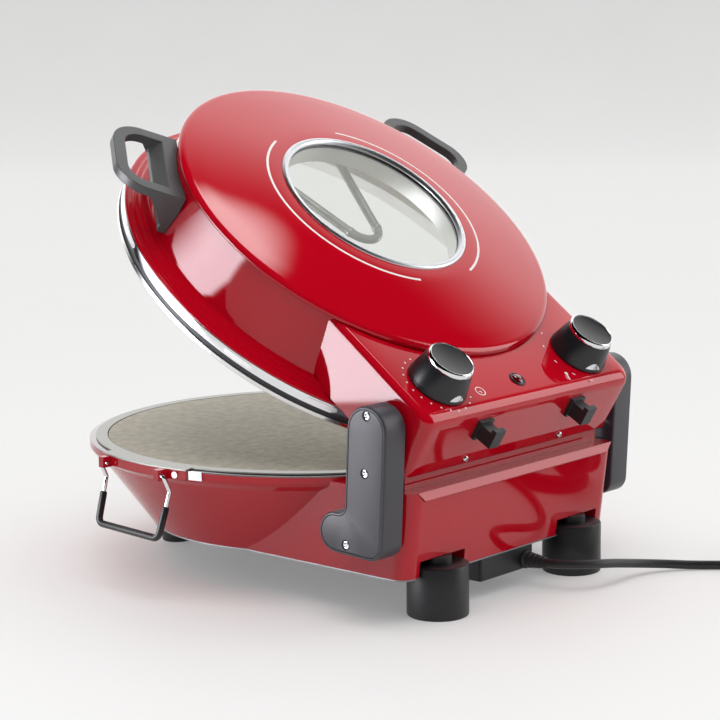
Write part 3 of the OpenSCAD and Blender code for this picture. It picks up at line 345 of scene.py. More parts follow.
def band(outer, inner, low, high):
    """A flat band between two outlines of equally many points."""
    return skin([[(x, y, low) for x, y in outer], [(x, y, high) for x, y in outer],
                 [(x, y, high) for x, y in inner], [(x, y, low) for x, y in inner]],
                joined_ends=True)


tie_low, tie_high = coil_middle - 2 * cord_radius - tie_gap, coil_middle + 2 * cord_radius + tie_gap
tie_inner = rounded([(tie_low, 0.1, 1), (tie_high, 0.1, 1), (tie_high, coil_height + tie_gap, 2),
                     (tie_low, coil_height + tie_gap, 2)])
tie_outer = rounded([(tie_low - tie_thick, 0, 1), (tie_high + tie_thick, 0, 1),
                     (tie_high + tie_thick, coil_height + tie_gap + tie_thick, 2.8),
                     (tie_low - tie_thick, coil_height + tie_gap + tie_thick, 2.8)])
at_tie = (at_base @ Matrix.Translation(coil_centre) @ Matrix.Rotation(tie_angle, 4, "Z")
          @ Matrix.Rotation(pi / 2, 4, "X"))
tie = piece("cord_tie", band(tie_outer, tie_inner, -tie_half, tie_half), at_tie,
            finish("tie plastic", (0.03, 0.03, 0.03), 0.4), "base", ("coil_tie",))

# ---------- Mains plug ----------
# Round two-pin plug moulded onto the cord in soft black plastic, with a ribbed grip, a flat face
# and two solid pins of nickelled brass.
at_plug = (at_base @ Matrix.Translation(plug_tail)
           @ Matrix.Rotation(pi / 2 - plug_tip, 4, "Y"))
rib_step = 3.2
plug_outline = [(0, 0), (7, 0), (8.6, 0.6)]
for rib in range(4):
    at = 1.6 + rib * rib_step
    plug_outline += [(9.0, at), (10.6, at + 0.6), (10.6, at + 1.8), (9.2, at + 2.4)]
plug_outline += [(10.9, 14.4), (12.6, 16), (17.2, 21.6), (plug_face_radius, 23), (plug_face_radius, 35),
                 (17, 36), (0, 36)]
rubber = finish("soft black plastic", (0.022, 0.022, 0.024), 0.55, grain=0.35, grain_size=1400)
plug = piece("plug_body", turned(plug_outline, 72), at_plug, rubber, "base", ("plug",))
pin_outline = [(0, 36), (2.4, 36), (2.4, 53.4), (1.7, 54.8), (0.8, 55), (0, 55)]
pin_side = 9.5
pins = joined(*[moved(turned(pin_outline, 24), Matrix.Translation((0, side * pin_side, 0)))
                for side in (-1, 1)])
brass = finish("nickelled brass", (0.62, 0.55, 0.40), 0.22, metallic=1.0, grain=0.03)
plug_pins = piece("pins", pins, at_plug, brass, "base", ("plug_pins",))

# ---------- Base casing ----------
# Pressed steel bowl with a box welded on behind it, finished in thick glossy red enamel.
# The box's rear wall leans in, and arches in its lower edge make room for the rear feet.
enamel = finish("red enamel", (0.50, 0.0015, 0.012), 0.5, drift=0.03, patch=12, grain=0.02, grain_size=260,
                coat=1.0, soft_edge=1.6, shine=0.0)


def dress(material, *drawn):
    """Drawn parts that keep their own mesh get their finish."""
    for node in drawn:
        data = frame["nodes"][node].data
        data.materials.clear()
        data.materials.append(material)
        for face in data.polygons:
            face.material_index = 0


dress(enamel, "base_shell", "rear_neck")

# The rear wall's folded hem: a strip that stands out at its foot, with mitred ends.
hem_long, hem_short = 113.5, 106.5
hem_low, hem_high = 86.8, 93.8
wall_rear, wall_top, wall_lean = 199, 93.2, 8 / 61.7


def behind(height, proud):
    return wall_rear - wall_lean * (wall_top - height) + proud


hem = [[(-across, behind(height, proud), height + up)
        for across, height, proud, up in (
            (hem_short, hem_low, -0.5, 0), (hem_short, hem_low, 1.6, 0), (hem_short + 0.3, hem_low, 2.0, 0.3),
            (hem_long, hem_high, 0.1, -0.3), (hem_long, hem_high, 0, 0), (hem_long, hem_high, -0.5, 0))]]
hem.append([(-x, y, z) for x, y, z in hem[0]])
piece("rear_hem", skin(hem), at_base, enamel, "base", ("rear_ledge",), crease=20)

# ---------- Rim ring, liner and lower heater ----------
# A bright rolled ring closes the bowl's edge. Under the stone hang an aluminised steel dish and a
# sheathed heater tube on three clips, wired at a white porcelain block.
chrome = finish("polished chrome", (0.78, 0.79, 0.81), 0.1, drift=0.03, patch=30, metallic=1.0,
                grain=0.02, grain_size=500)
ring_outline = [(166, 95.85), (172, 95.85), (172, 96.2), (171.7, 96.5), (171.2, 96.6), (166, 96.6)]
rim_steel = finish("drawn rim steel", (0.26, 0.22, 0.23), 0.2, drift=0.05, metallic=1.0, grain=0.04)
piece("rim_ring", turned(ring_outline, 200), at_base, rim_steel, "base", ("base_rim_ring",))
aluminised = finish("aluminised steel", (0.55, 0.55, 0.53), 0.34, drift=0.1, patch=60, metallic=1.0,
                    grain=0.12, grain_size=1800)
dress(aluminised, "base_liner")
sheath = finish("heater sheath", (0.22, 0.21, 0.19), 0.55, drift=0.25, patch=70, metallic=0.6,
                grain=0.25, grain_size=1600)
dress(sheath, "lower_element")
zinc = finish("zinc-plated steel", (0.56, 0.57, 0.59), 0.3, drift=0.08, patch=90, metallic=1.0,
              grain=0.1, grain_size=1500, soft_edge=0.3)
dress(zinc, "element_clips", "spindle", "foot_screws", "hinge_pins", "hinge_bushes", "handle_screws",
      "timer_body", "thermostat_body")
porcelain = finish("porcelain", (0.78, 0.76, 0.70), 0.5, drift=0.04, grain=0.08, soft_edge=0.8)
dress(porcelain, "terminal_block")

# ---------- Underside, feet and cable box ----------
# The casing stands on two large round rear feet and two small front ones, moulded in black
# plastic, each held by one screw. The cable box is a plastic cover under the rear wall.
cover_steel = finish("grey sheet steel", (0.30, 0.30, 0.31), 0.42, drift=0.06, metallic=0.8, grain=0.1,
                     soft_edge=0.4)
dress(cover_steel, "bottom_cover")
moulded = finish("moulded black", (0.010, 0.010, 0.012), 0.42, drift=0.1, patch=30, grain=0.3,
                 grain_size=1700, soft_edge=0.5)
rear_foot_outline = [(0, 0.6), (19.4, 0.6), (19.8, 0), (21.0, 0), (21.7, 0.5), (22, 1.4), (22, 36.2),
                     (21.7, 37), (21, 37.4), (10, 37.4), (10, 42.7), (0, 42.7)]
front_foot_outline = [(0, 0), (11, 0), (11.6, 0.3), (12, 1.2), (14, 29.4), (13.6, 30.3), (0, 30.3)]
for side, word in ((1, "left"), (-1, "right")):
    for end, outline, facets, out, back in (("rear", rear_foot_outline, 96, 79.3, 187.7),
                                            ("front", front_foot_outline, 72, 40, -112)):
        foot = end + "_foot_" + word
        piece(foot + "_moulding", turned(outline, facets),
              at_base @ Matrix.Translation((side * out, back, 0)), moulded, "base", (foot,))


def inset(outline, distance):
    """The outline moved inward by distance; it runs anticlockwise."""
    line = []
    count = len(outline)
    for i, (x, y) in enumerate(outline):
        back = (Vector((x, y)) - Vector(outline[i - 1])).normalized()
        on = (Vector(outline[(i + 1) % count]) - Vector((x, y))).normalized()
        middle = (back + on).normalized()
        grow = distance / max(0.3, middle.dot(on))
        line.append((x - middle.y * grow, y + middle.x * grow))
    return line


def level(outline, z):
    return [(x, y, z) for x, y in outline]


def slab(outline, low, high, low_edge=0.0, high_edge=0.0, steps=4):
    """A flat body with rounded lower and upper edges; its outline runs anticlockwise."""
    loops = []
    for edge, z, sign in ((low_edge, low, 1), (high_edge, high, -1)):
        turns = steps if edge else 0
        rounds = []
        for k in range(turns + 1):
            a = pi / 2 * k / max(1, turns)
            rounds.append(level(inset(outline, edge * (1 - sin(a))), z + sign * edge * (1 - cos(a))))
        loops += rounds[::sign]
    return skin(loops)


cable_box = rounded([(-31, 125, 2), (31, 125, 2), (31, 188, 2), (-31, 188, 2)], 4)
piece("cable_box_moulding", slab(cable_box, 12.5, 30.3, 1.2, 0.0), at_base, moulded, "base",
      ("cable_box",))

# Tapered strain relief: soft rings with gaps between them, so that it bends with the cord.
relief = [(0, 180), (4.5, 180), (4.5, 187.6), (6.6, 188), (6.8, 189.2), (6.2, 190.2)]
for ring in range(4):
    at = 191.2 + ring * 4
    size = 5.9 - ring * 0.48
    relief += [(size - 1.1, at), (size, at + 0.4), (size - 0.1, at + 2.6), (size - 1.2, at + 3)]
relief += [(3.9, 207), (3.7, 208), (0, 208)]
piece("strain_relief", turned(relief, 48),
      at_base @ Matrix.Translation((route[0][0], 0, route[0][2])) @ Matrix.Rotation(-pi / 2, 4, "X"),
      rubber, "base", ("cord_gland",))

# ---------- Turning stone ----------
# A round cordierite stone lies in a grey carrier ring with a hub under it. The carrier turns on a
# spindle in the middle of the bowl.
carrier_paint = finish("grey carrier paint", (0.36, 0.355, 0.33), 0.38, drift=0.05, patch=25, metallic=0.5,
                       grain=0.12, grain_size=1400, soft_edge=0.5)
dress(carrier_paint, "stone_carrier")
stone_finish = finish("baking stone", (0.50, 0.46, 0.38), 0.85, drift=0.16, patch=160, grain=0.8,
                      grain_size=900)
stone_outline = [(0, 87.2), (156.8, 87.2), (157.6, 87.5), (158, 88.3), (158, 96.6), (157.6, 97.6),
                 (156.6, 98), (0, 98)]
piece("stone_disc", turned(stone_outline, 200), at_base, stone_finish, "turntable",
      ("baking_stone",))

# ---------- Wire handle ----------
# The carrier's tab holds a red strap with two ears over the bowl's rim. A bent chromed wire swings
# in the ears, and a black sleeve covers its grip; a bright plate and a screw join strap and tab.
dress(enamel, "turn_strap")
dress(chrome, "strap_plate", "strap_screw")
strap_turn = radians(-6.1)
at_strap = at_base @ Matrix.Rotation(strap_turn, 4, "Z")


def tube(path, radius):
    """A round bar along a path, with rounded ends."""
    loops = []
    sides, side = 16, None
    path = [Vector(p) for p in path]
    first, last = (path[1] - path[0]).normalized(), (path[-1] - path[-2]).normalized()
    path = ([path[0], path[0] + first * radius * 0.15, path[0] + first * radius * 0.5] + path[1:-1]
            + [path[-1] - last * radius * 0.5, path[-1] - last * radius * 0.15, path[-1]])
    sizes = [radius * 0.55, radius * 0.85] + [radius] * (len(path) - 4) + [radius * 0.85, radius * 0.55]
    for i, here in enumerate(path):
        ahead = (path[min(i + 1, len(path) - 1)] - path[max(i - 1, 0)]).normalized()
        if side is None:
            side = ahead.orthogonal().normalized()
        side = (side - ahead * side.dot(ahead)).normalized()
        other = ahead.cross(side)
        loops.append([here + (side * cos(2 * pi * k / sides) + other * sin(2 * pi * k / sides)) * sizes[i]
                      for k in range(sides)])
    return skin(loops)


def bent(corners, radius):
    """A path with its corners rounded to one radius."""
    steps = 8
    corners = [Vector(p) for p in corners]
    path = [corners[0]]
    for before, here, after in zip(corners, corners[1:], corners[2:]):
        path += corner_arc(before, here, after, radius, steps)
    return path + [corners[-1]]


wire_radius = 1.6
sleeve_radius = 2.6
pivot_out = 176.4
pivot_height = 92.4
leg_half = 37.5
knee_out, knee_height = pivot_out - 5.4, pivot_height - 11.8
foot_out, foot_height, foot_half = pivot_out + 4.6, pivot_height - 45, leg_half - 2
sleeve_share = 0.32
sleeve_out = knee_out + (foot_out - knee_out) * sleeve_share
sleeve_half = leg_half + (foot_half - leg_half) * sleeve_share
sleeve_height = knee_height + (foot_height - knee_height) * sleeve_share
wires = []
for side in (1, -1):
    wires.append(tube(bent([(pivot_out, side * (leg_half - 9), pivot_height),
                            (pivot_out, side * leg_half, pivot_height),
                            (knee_out, side * leg_half, knee_height),
                            (sleeve_out + 0.3, side * (sleeve_half - 0.06), sleeve_height - 1)],
                           2.6), wire_radius))
piece("bail_legs", joined(*wires), at_strap, chrome, "bail", ("bail_wire",))
sleeve_path = bent([(sleeve_out, sleeve_half, sleeve_height), (foot_out, foot_half, foot_height),
                    (foot_out, -foot_half, foot_height), (sleeve_out, -sleeve_half, sleeve_height)], 5.5)
piece("bail_grip", tube(sleeve_path, sleeve_radius), at_strap,
      finish("grip sleeve", (0.015, 0.015, 0.016), 0.36, grain=0.1), "bail", ("bail_sleeve",))

# ---------- Hinge arms ----------
# Each arm is a deep black moulding with a rounded top and a toe that reaches forward. A flat cover
# lies inside its rim, held by three screws in counterbores; the lid's pins turn in its inner wall.
arm_middle = (177.6, 109.9)
arm_lean = radians(3)
arm_inner, arm_outer = 123.2, 144.6
cover_thick = 2.6
arm_round = 1.8
well_deep = 1.6


def arc(centre, radius, start, stop, steps):
    """Points along part of a circle, whose angles are in degrees."""
    return [(centre[0] + radius * cos(radians(start + (stop - start) * k / steps)),
             centre[1] + radius * sin(radians(start + (stop - start) * k / steps)))
            for k in range(steps + 1)]


def arm_outline(smaller):
    """The arm seen from outside, about its middle screw: across to the rear, and up."""
    return (arc((0, 29), 17.5 - smaller, 0, 180, 20)
            + arc((-23.5, -25.7), 6 + smaller, 0, -90, 6)
            + arc((-25.5, -46), 14.3 - smaller, 90, 270, 16)
            + arc((5.5, -48.3), 12 - smaller, -90, 0, 8))


def at_arm(side):
    turn = Matrix(((0, 0, side, 0), (1, 0, 0, 0), (0, 1, 0, 0), (0, 0, 0, 1)))
    return (at_base @ Matrix.Translation((0, arm_middle[0], arm_middle[1]))
            @ Matrix.Rotation(-arm_lean, 4, "X") @ turn)


arm_screw_places = [(0, 40), (0, 0), (-15.1, -53.2)]
arm_loops = [level(arm_outline(0.8), arm_inner), level(arm_outline(0), arm_inner + 0.8)]
for k in range(6):
    a = pi / 2 * k / 5
    arm_loops.append(level(arm_outline(arm_round * (1 - cos(a))), arm_outer - arm_round * (1 - sin(a))))
arm_loops += [level(arm_outline(2.0), arm_outer), level(arm_outline(2.0), arm_outer - cover_thick - 0.6)]
pad_inner, pad_outer = 119.6, 124
arm_pad = slab(rounded([(-25.6, -53.9, 1), (4.4, -53.9, 1), (4.4, -25.9, 1), (-25.6, -25.9, 1)], 3),
               pad_inner, pad_outer)


def cut(target, cutters, place):
    """Takes cutter forms out of a finished piece, exactly."""
    cutter = bpy.data.objects.new("cutter", welded("cutter", joined(*cutters), place))
    scene.collection.objects.link(cutter)
    tool = target.modifiers.new("cut", "BOOLEAN")
    tool.operation = "DIFFERENCE"
    tool.solver = "EXACT"
    tool.object = cutter
    bpy.context.view_layer.update()
    done = bpy.data.meshes.new_from_object(target.evaluated_get(bpy.context.evaluated_depsgraph_get()))
    target.modifiers.remove(tool)
    old = target.data
    target.data = done
    creased(done)
    bpy.data.objects.remove(cutter)
    bpy.data.meshes.remove(old)


screw_head = [(0, 0.1), (1.1, 0.1), (1.3, 0.6), (1.5, 1.05), (2.2, 1.3), (2.7, 1.1), (3.0, 0.5), (3.0, 0),
              (1.4, -0.1), (1.4, -3), (0, -3)]
arm_black = finish("arm moulding", (0.050, 0.048, 0.058), 0.42, drift=0.06, patch=20, grain=0.22,
                   grain_size=1900, soft_edge=0.3)
screw_steel = finish("bright screw steel", (0.70, 0.71, 0.73), 0.16, metallic=1.0, grain=0.05)
for side, word in ((1, "left"), (-1, "right")):
    piece("arm_" + word + "_moulding", joined(skin(arm_loops), arm_pad), at_arm(side), arm_black, "base",
          ("hinge_arm_" + word,))
    plate = piece("arm_" + word + "_plate",
                  slab(arm_outline(2.3), arm_outer - cover_thick, arm_outer, 0.0, 0.5, 3), at_arm(side),
                  arm_black, "base", ("arm_cover_" + word,))
    wells = [moved(turned([(0, 0), (3.6, 0), (3.6, 4), (0, 4)], 40),
                   Matrix.Translation((x, y, arm_outer - well_deep))) for x, y in arm_screw_places]
    cut(plate, wells, at_arm(side))
heads = [moved(turned(screw_head, 32), at_arm(side) @ Matrix.Translation((x, y, arm_outer - well_deep + 0.1)))
         for side in (1, -1) for x, y in arm_screw_places]
piece("arm_screw_heads", joined(*heads), Matrix.Identity(4), screw_steel, "base",
      ("arm_screws",))

# ---------- Lid wall ----------
# Deep-drawn steel wall, slightly conical, whose flange steps up in two pressed beads. Glossy red
# enamel covers it. The whole lid stands open about its hinge line.
hinge = joints["lid_hinge"]
hinge_point = Vector(hinge["pos_m"])
lid_height = 100 * MM
at_lid = (Matrix.Translation(hinge_point) @ Matrix.Rotation(-radians(hinge["range_deg"][1]), 4, "X")
          @ Matrix.Translation(Vector((bowl_axis.x, bowl_axis.y, lid_height)) - hinge_point)
          @ Matrix.Scale(MM, 4))


def smooth(points, steps=4):
    """An outline drawn smoothly through points."""
    return [(p.x, p.y) for p in through([Vector(q) for q in points], steps)]


lip_height = 64.6
flange = smooth([(172, 12.75), (171.9, 13.9), (171.1, 14.8), (169.8, 15.1), (168.4, 15.2), (167.2, 15.35),
                 (166.6, 16.0), (165.9, 16.8), (164.7, 17.05), (163.4, 17.1), (162.6, 17.4), (162.0, 18.2),
                 (161.2, 18.75), (159.9, 18.85), (158.0, 18.85), (156.7, 19.2), (156.0, 20.1),
                 (155.6, 21.4)], 3)
wall_outline = flange + [(154.5, 25), (151.9, 42), (149.3, 58), (148.5, lip_height), (147.3, lip_height),
                         (148.1, 58), (153.2, 25), (154.8, 18.4), (158, 17.5), (160.4, 17.3), (161.9, 15.8),
                         (165, 15.6), (166.5, 14.2), (169.5, 13.9), (170.7, 13.2), (170.7, 12.75)]
piece("lid_wall", turned(wall_outline, 220), at_lid, enamel, "lid", ("lid_shell",))

# ---------- Control box ----------
# Folded sheet-steel housing welded to the lid's wall and enamelled with it. Its rear wall slopes, its
# upper edges are rounded, and a grey steel plate with two screws closes it from below.
box_half = 119.5
box_low, box_high = 16.5, 64.5
box_rear_foot = 203.5
box_slope, slope_start = 5 / 44, 17
box_corner = 8
rear_round, side_round = 10, 5
box_sheet = 1.2
weld_lap = 0.7
side_steps, corner_steps, rear_steps = 10, 7, 12
wall_radii = [(16.5, 166), (17, 162.5), (18.4, 161), (18.8, 157.5), (19.6, 156), (24, 154.5), (58, 149.3),
              (64.6, 148.5)]


def read_off(line, at):
    """The second number of a line of points, where the first one, which rises, has a given value."""
    at = max(at, line[0][0])
    for (x0, y0), (x1, y1) in zip(line, line[1:]):
        if at <= x1:
            return y0 + (y1 - y0) * (at - x0) / (x1 - x0)
    return line[-1][1]


def box_row(height, smaller):
    """Points round the box at one height, from the wall on its left to the wall on its right."""
    top = box_high - smaller
    fold = top - rear_round
    rear = box_rear_foot - box_slope * (min(height, fold) - slope_start) - smaller
    if height > fold:
        rear += sqrt(max(0, rear_round ** 2 - (height - fold) ** 2)) - rear_round
    half = box_half - smaller
    if height > top - side_round:
        half += sqrt(max(0, side_round ** 2 - (height - top + side_round) ** 2)) - side_round
    corner = box_corner - smaller
    front = sqrt((read_off(wall_radii, height) - weld_lap) ** 2 - half ** 2)
    right_half = [(half, front + (rear - corner - front) * k / side_steps) for k in range(side_steps)]
    right_half += arc((half - corner, rear - corner), corner, 0, 90, corner_steps)
    right_half += [((half - corner) * (1 - k / rear_steps), rear) for k in range(1, rear_steps + 1)]
    row = right_half + [(-x, y) for x, y in right_half[-2::-1]]
    return [(x, y, height) for x, y in row]


def box_top_row(smaller):
    """Where the box's top meets the round wall, with a point for each point of a row."""
    edge = box_row(box_high - smaller, smaller)
    start, stop = [degrees(atan2(end[1], end[0])) for end in (edge[0], edge[-1])]
    radius = read_off(wall_radii, box_high) - weld_lap
    return level(arc((0, 0), radius, start, stop, len(edge) - 1), box_high - smaller)


outer_heights = [box_low, 17, 18.4, 19.6, 24, 34, 46, box_high - rear_round]
outer_heights += [box_high - rear_round + rear_round * sin(pi / 2 * k / 9) for k in range(1, 10)]
box_loops = [box_row(h, 0) for h in outer_heights] + [box_top_row(0), box_top_row(box_sheet)]
box_loops += [box_row(h - box_sheet, box_sheet) for h in outer_heights[:2:-1]]
box_loops += [box_row(box_low, box_sheet)]
shell_points, shell_faces = skin(box_loops, around=False)
row_length = len(box_loops[0])
last = (len(box_loops) - 1) * row_length
shell_faces += [[last + k, last + k + 1, k + 1, k] for k in range(row_length - 1)]
shell_faces += [[i * row_length for i in range(len(box_loops))],
                [i * row_length + row_length - 1 for i in range(len(box_loops))][::-1]]
control_box = piece("control_box", (shell_points, shell_faces), at_lid, enamel, "lid")
pin_hole = [(0, -2), (8, -2), (8, 10), (0, 10)]
hole_side, hole_back, hole_height = 115, 178, 29.5
pin_places = [Matrix.Translation((side * hole_side, hole_back, hole_height))
              @ Matrix.Rotation(side * pi / 2, 4, "Y") for side in (1, -1)]
cut(control_box, [moved(turned(pin_hole, 40), place) for place in pin_places], at_lid)
dress(cover_steel, "control_box_cover")

box_screw_side, box_screw_height = 55.1, 20.8
box_screw_outline = [(0, -6), (1.2, -6), (1.2, 0), (2.5, 0), (2.6, 0.4), (2.3, 1.1), (1.5, 1.55), (1.1, 1.5),
                     (0.9, 0.8), (0, 0.8)]
box_screw_back = box_rear_foot - (box_screw_height - slope_start) * box_slope + 0.05
heads = [moved(turned(box_screw_outline, 32),
               Matrix.Translation((side * box_screw_side, box_screw_back, box_screw_height))
               @ Matrix.Rotation(atan(box_slope) - pi / 2, 4, "X")) for side in (1, -1)]
piece("box_screw_heads", joined(*heads), at_lid, screw_steel, "lid",
      ("control_box_screws",))

# ---------- Lid cover ----------
# Shallow domed steel cover, enamelled red like the wall, with a rolled edge that overhangs the wall.
# Two white lines are printed on it, round its window.
crown = smooth([(146.4, 70.05), (135, 72.2), (118, 74.95), (100, 77.6), (85.2, 79.5), (76.2, 80.1)], 4)
dome_edge = smooth([(150.0, 64.62), (151.2, 64.8), (151.85, 65.45), (152, 66.3), (151.7, 67.4),
                    (150.9, 68.4), (149.6, 69.2), (148.1, 69.7), (146.4, 70.05)], 3)
dome_outline = ([(142.5, 65.8), (142.5, 64.62)] + dome_edge + crown[1:]
                + [(71.2, 80.1), (71.2, 78.9), (76.2, 78.9), (85.2, 78.3), (118, 73.7), (148, 68.0),
                   (150.4, 67.2), (150.7, 66.4), (150.0, 65.8)])
piece("dome_cover", turned(dome_outline, 240), at_lid, enamel, "lid", ("lid_dome",))

ink = finish("white print", (0.86, 0.82, 0.80), 0.4, drift=0.05, patch=60, grain=0.05)
line_half = 0.9
line_radius = 87
print_thick = 0.1
line_outline = [(line_radius + out, read_off(crown[::-1], line_radius + out) + up)
                for out, up in ((line_half, -print_thick), (line_half, print_thick),
                                (-line_half, print_thick), (-line_half, -print_thick))]
piece("dome_lines", joined(turned(line_outline, 100, -64, 136), turned(line_outline, 100, 111, 138)),
      at_lid, ink, "lid")

# ---------- Lid ring, gasket and inner pan ----------
# A polished steel ring with sixteen pressed lozenges closes the lid's edge. A black silicone gasket
# lies in it, and holds the inner pan, whose bright bead shows below. The upper heater hangs in the pan.
lid_ring_outline = [(172, 6.1), (172, 12.2), (171.85, 12.55), (171.5, 12.7), (160, 12.7), (160, 11.5),
                    (170.8, 11.5), (170.8, 5.7), (171.6, 5.7)]
piece("lid_edge_ring", turned(lid_ring_outline, 240), at_lid, chrome, "lid", ("lid_ring",))
lozenge_half, lozenge_high, lozenge_middle = 11.6, 4.6, 9.4
lozenge_count, first_lozenge = 16, -0.5
lozenge_foot, lozenge_face = 171.8, 172.2
lozenges = []
for k in range(lozenge_count):
    middle = radians(first_lozenge + 360 / lozenge_count * k)
    loops = []
    for step in range(17):
        along = -cos(pi * step / 16) * lozenge_half
        past = max(0, abs(along) - lozenge_half + lozenge_high / 2)
        half = max(0.12, sqrt(max(0, (lozenge_high / 2) ** 2 - past ** 2)))
        angle = middle + along / 172
        loops.append([(r * cos(angle), r * sin(angle), lozenge_middle + h)
                      for r, h in ((lozenge_foot, -half), (lozenge_face, -half * 0.85),
                                   (lozenge_face, half * 0.85), (lozenge_foot, half))])
    lozenges.append(skin(loops))
satin_steel = finish("pressed satin steel", (0.86, 0.86, 0.85), 0.3, drift=0.04, metallic=1.0, grain=0.05)
piece("edge_ring_lozenges", joined(*lozenges), at_lid, satin_steel, "lid")
silicone = finish("black silicone", (0.022, 0.022, 0.026), 0.42, drift=0.1, grain=0.15, grain_size=1100)
dress(silicone, "lid_gasket", "window_seal")
pan_steel = finish("bright pan steel", (0.74, 0.74, 0.73), 0.16, drift=0.06, patch=50, metallic=1.0,
                   grain=0.05, grain_size=900, soft_edge=0.8)
dress(pan_steel, "lid_reflector")
satin_pan = finish("satin pan steel", (0.80, 0.80, 0.77), 0.5, drift=0.05, metallic=0.6, grain=0.08,
                   grain_size=900)
dress(satin_pan, "reflector_crown")
bright_sheath = finish("bright heater sheath", (0.34, 0.34, 0.31), 0.4, drift=0.12, patch=60, metallic=0.7,
                       grain=0.2)
dress(bright_sheath, "upper_element")

# ---------- Window ----------
# Round toughened glass in the middle of the cover. A satin chromed ring holds it down on a black
# silicone seal.
window_ring_outline = [(70.2, 78.95), (71.2, 78.95), (71.2, 80.15), (75.6, 80.15), (75.6, 80.6),
                       (75.2, 81.3), (74.5, 81.8), (73.6, 82.1), (72.6, 82.1), (71.5, 81.6), (70.7, 80.9),
                       (70.2, 80.1)]
trim_steel = finish("satin chrome", (0.70, 0.715, 0.74), 0.36, drift=0.04, patch=30, metallic=1.0,
                    grain=0.03)
piece("window_trim", turned(window_ring_outline, 200), at_lid, trim_steel, "lid",
      ("window_ring",))
glass = finish("window glass", (0.84, 0.86, 0.83), 0.03, drift=0.01, grain=0.004, grain_size=200)
glass_shader = glass.node_tree.nodes["Principled BSDF"]
glass_shader.inputs["Transmission Weight"].default_value = 1.0
glass_shader.inputs["IOR"].default_value = 1.45
glass_outline = [(0, 74.9), (72.4, 74.9), (72.8, 75.3), (72.8, 78.5), (72.4, 78.9), (0, 78.9)]
piece("window_pane", turned(glass_outline, 160), at_lid, glass, "lid", ("window_glass",))

# ---------- Lid handles ----------
# Two black mouldings: each is a thick loop on a wedge-shaped foot that follows the lid's wall, held
# from inside by two screws.
handle_black = finish("handle moulding", (0.075, 0.076, 0.078), 0.36, drift=0.08, patch=25, grain=0.2,
                      grain_size=2000, soft_edge=1.4)
dress(handle_black, "lid_handle_left", "lid_handle_right")

# ---------- Controls ----------
# Timer on the left and thermostat on the right, each a satin black knob with a chromed ring at its
# top, a dished end and a silvery pointer in its skirt. A dark red lamp lies between them.
knob_black = finish("knob satin black", (0.012, 0.012, 0.015), 0.32, drift=0.06, patch=60, grain=0.08,
                    grain_size=1800)
knob_side, knob_back, knob_top = 82, 167, 23.5
skirt_low, skirt_high = (21.9, 4.2), (18.0, 19.3)
knob_outline = [(3.2, 0.6), (22.1, 0.6), (22.5, 1.0), (22.5, 2.4), (22.2, 3.0), skirt_low, skirt_high,
                (17.6, 19.8), (15.9, 19.9), (15.9, 22.8), (15.3, 22.7), (11, 22.2), (6, 21.8), (0, 21.7),
                (0, 13), (3.2, 13)]
knob_ring_outline = [(15.9, 19.9), (17.6, 19.9), (17.75, 20.4), (17.7, 21.4), (17.4, 22.5), (16.9, 23.2),
                     (16.4, knob_top), (16.0, 23.4), (15.9, 23.0)]


def knob_skirt(height):
    (low_radius, low), (high_radius, high) = skirt_low, skirt_high
    return low_radius + (high_radius - low_radius) * (height - low) / (high - low)


pointer_spread = 17
pointer_foot, pointer_least, pointer_rise = 3.6, 0.2, 4.4


def pointer(direction):
    """A lens-shaped inlay in the knob's side, in degrees round from its middle."""
    loops = []
    for step in range(13):
        share = step / 6 - 1
        angle = radians(direction + share * pointer_spread)
        low, high = pointer_foot, pointer_foot + pointer_least + pointer_rise * (1 - share * share)
        loops.append([((knob_skirt(h) + out) * cos(angle), (knob_skirt(h) + out) * sin(angle), h)
                      for h, out in ((low, -0.4), (low, 0.15), ((low + high) / 2, 0.22), (high, 0.15),
                                     (high, -0.4))])
    return skin(loops)


for side, word, direction in ((1, "timer", 84), (-1, "thermostat", 73)):
    at_knob = at_lid @ Matrix.Translation((side * knob_side, knob_back, box_high))
    piece(word + "_cap", turned(knob_outline, 96), at_knob, knob_black, word + "_knob",
          (word + "_knob",))
    piece(word + "_cap_ring", turned(knob_ring_outline, 96), at_knob, chrome, word + "_knob")
    piece(word + "_pointer", pointer(direction), at_knob, screw_steel, word + "_knob")

lamp_red = finish("lamp red", (0.10, 0.001, 0.004), 0.06, drift=0.1, grain=0.01, coat=1.0)
at_lamp = at_lid @ Matrix.Translation((3, 178.5, box_high))
lens_outline = [(0, -3), (4.9, -3), (4.9, 0.7), (4.4, 1.4), (3.2, 2.05), (1.7, 2.35), (0, 2.4)]
bezel_outline = [(4.9, 0), (6.3, 0), (6.5, 0.3), (6.2, 0.9), (5.5, 1.2), (4.9, 1.1)]
piece("lamp_lens", turned(lens_outline, 48), at_lamp, lamp_red, "lid", ("pilot_lamp",))
piece("lamp_bezel", turned(bezel_outline, 48), at_lamp, knob_black, "lid")

# Printed marks: dots for the minutes, strokes for the heat, and a clock and a thermometer.
def printed_ring(inner, outer, facets):
    """A flat printed ring, or a dot where its inner radius is nothing."""
    return turned([(inner, 0), (outer, 0), (outer, print_thick), (inner, print_thick)], facets)


def stroke(x, y, length, width, turn):
    """A flat bar printed about a point."""
    outline = [(-length / 2, -width / 2), (length / 2, -width / 2), (length / 2, width / 2),
               (-length / 2, width / 2)]
    return moved(slab(outline, 0, print_thick),
                 Matrix.Translation((x, y, 0)) @ Matrix.Rotation(radians(turn), 4, "Z"))


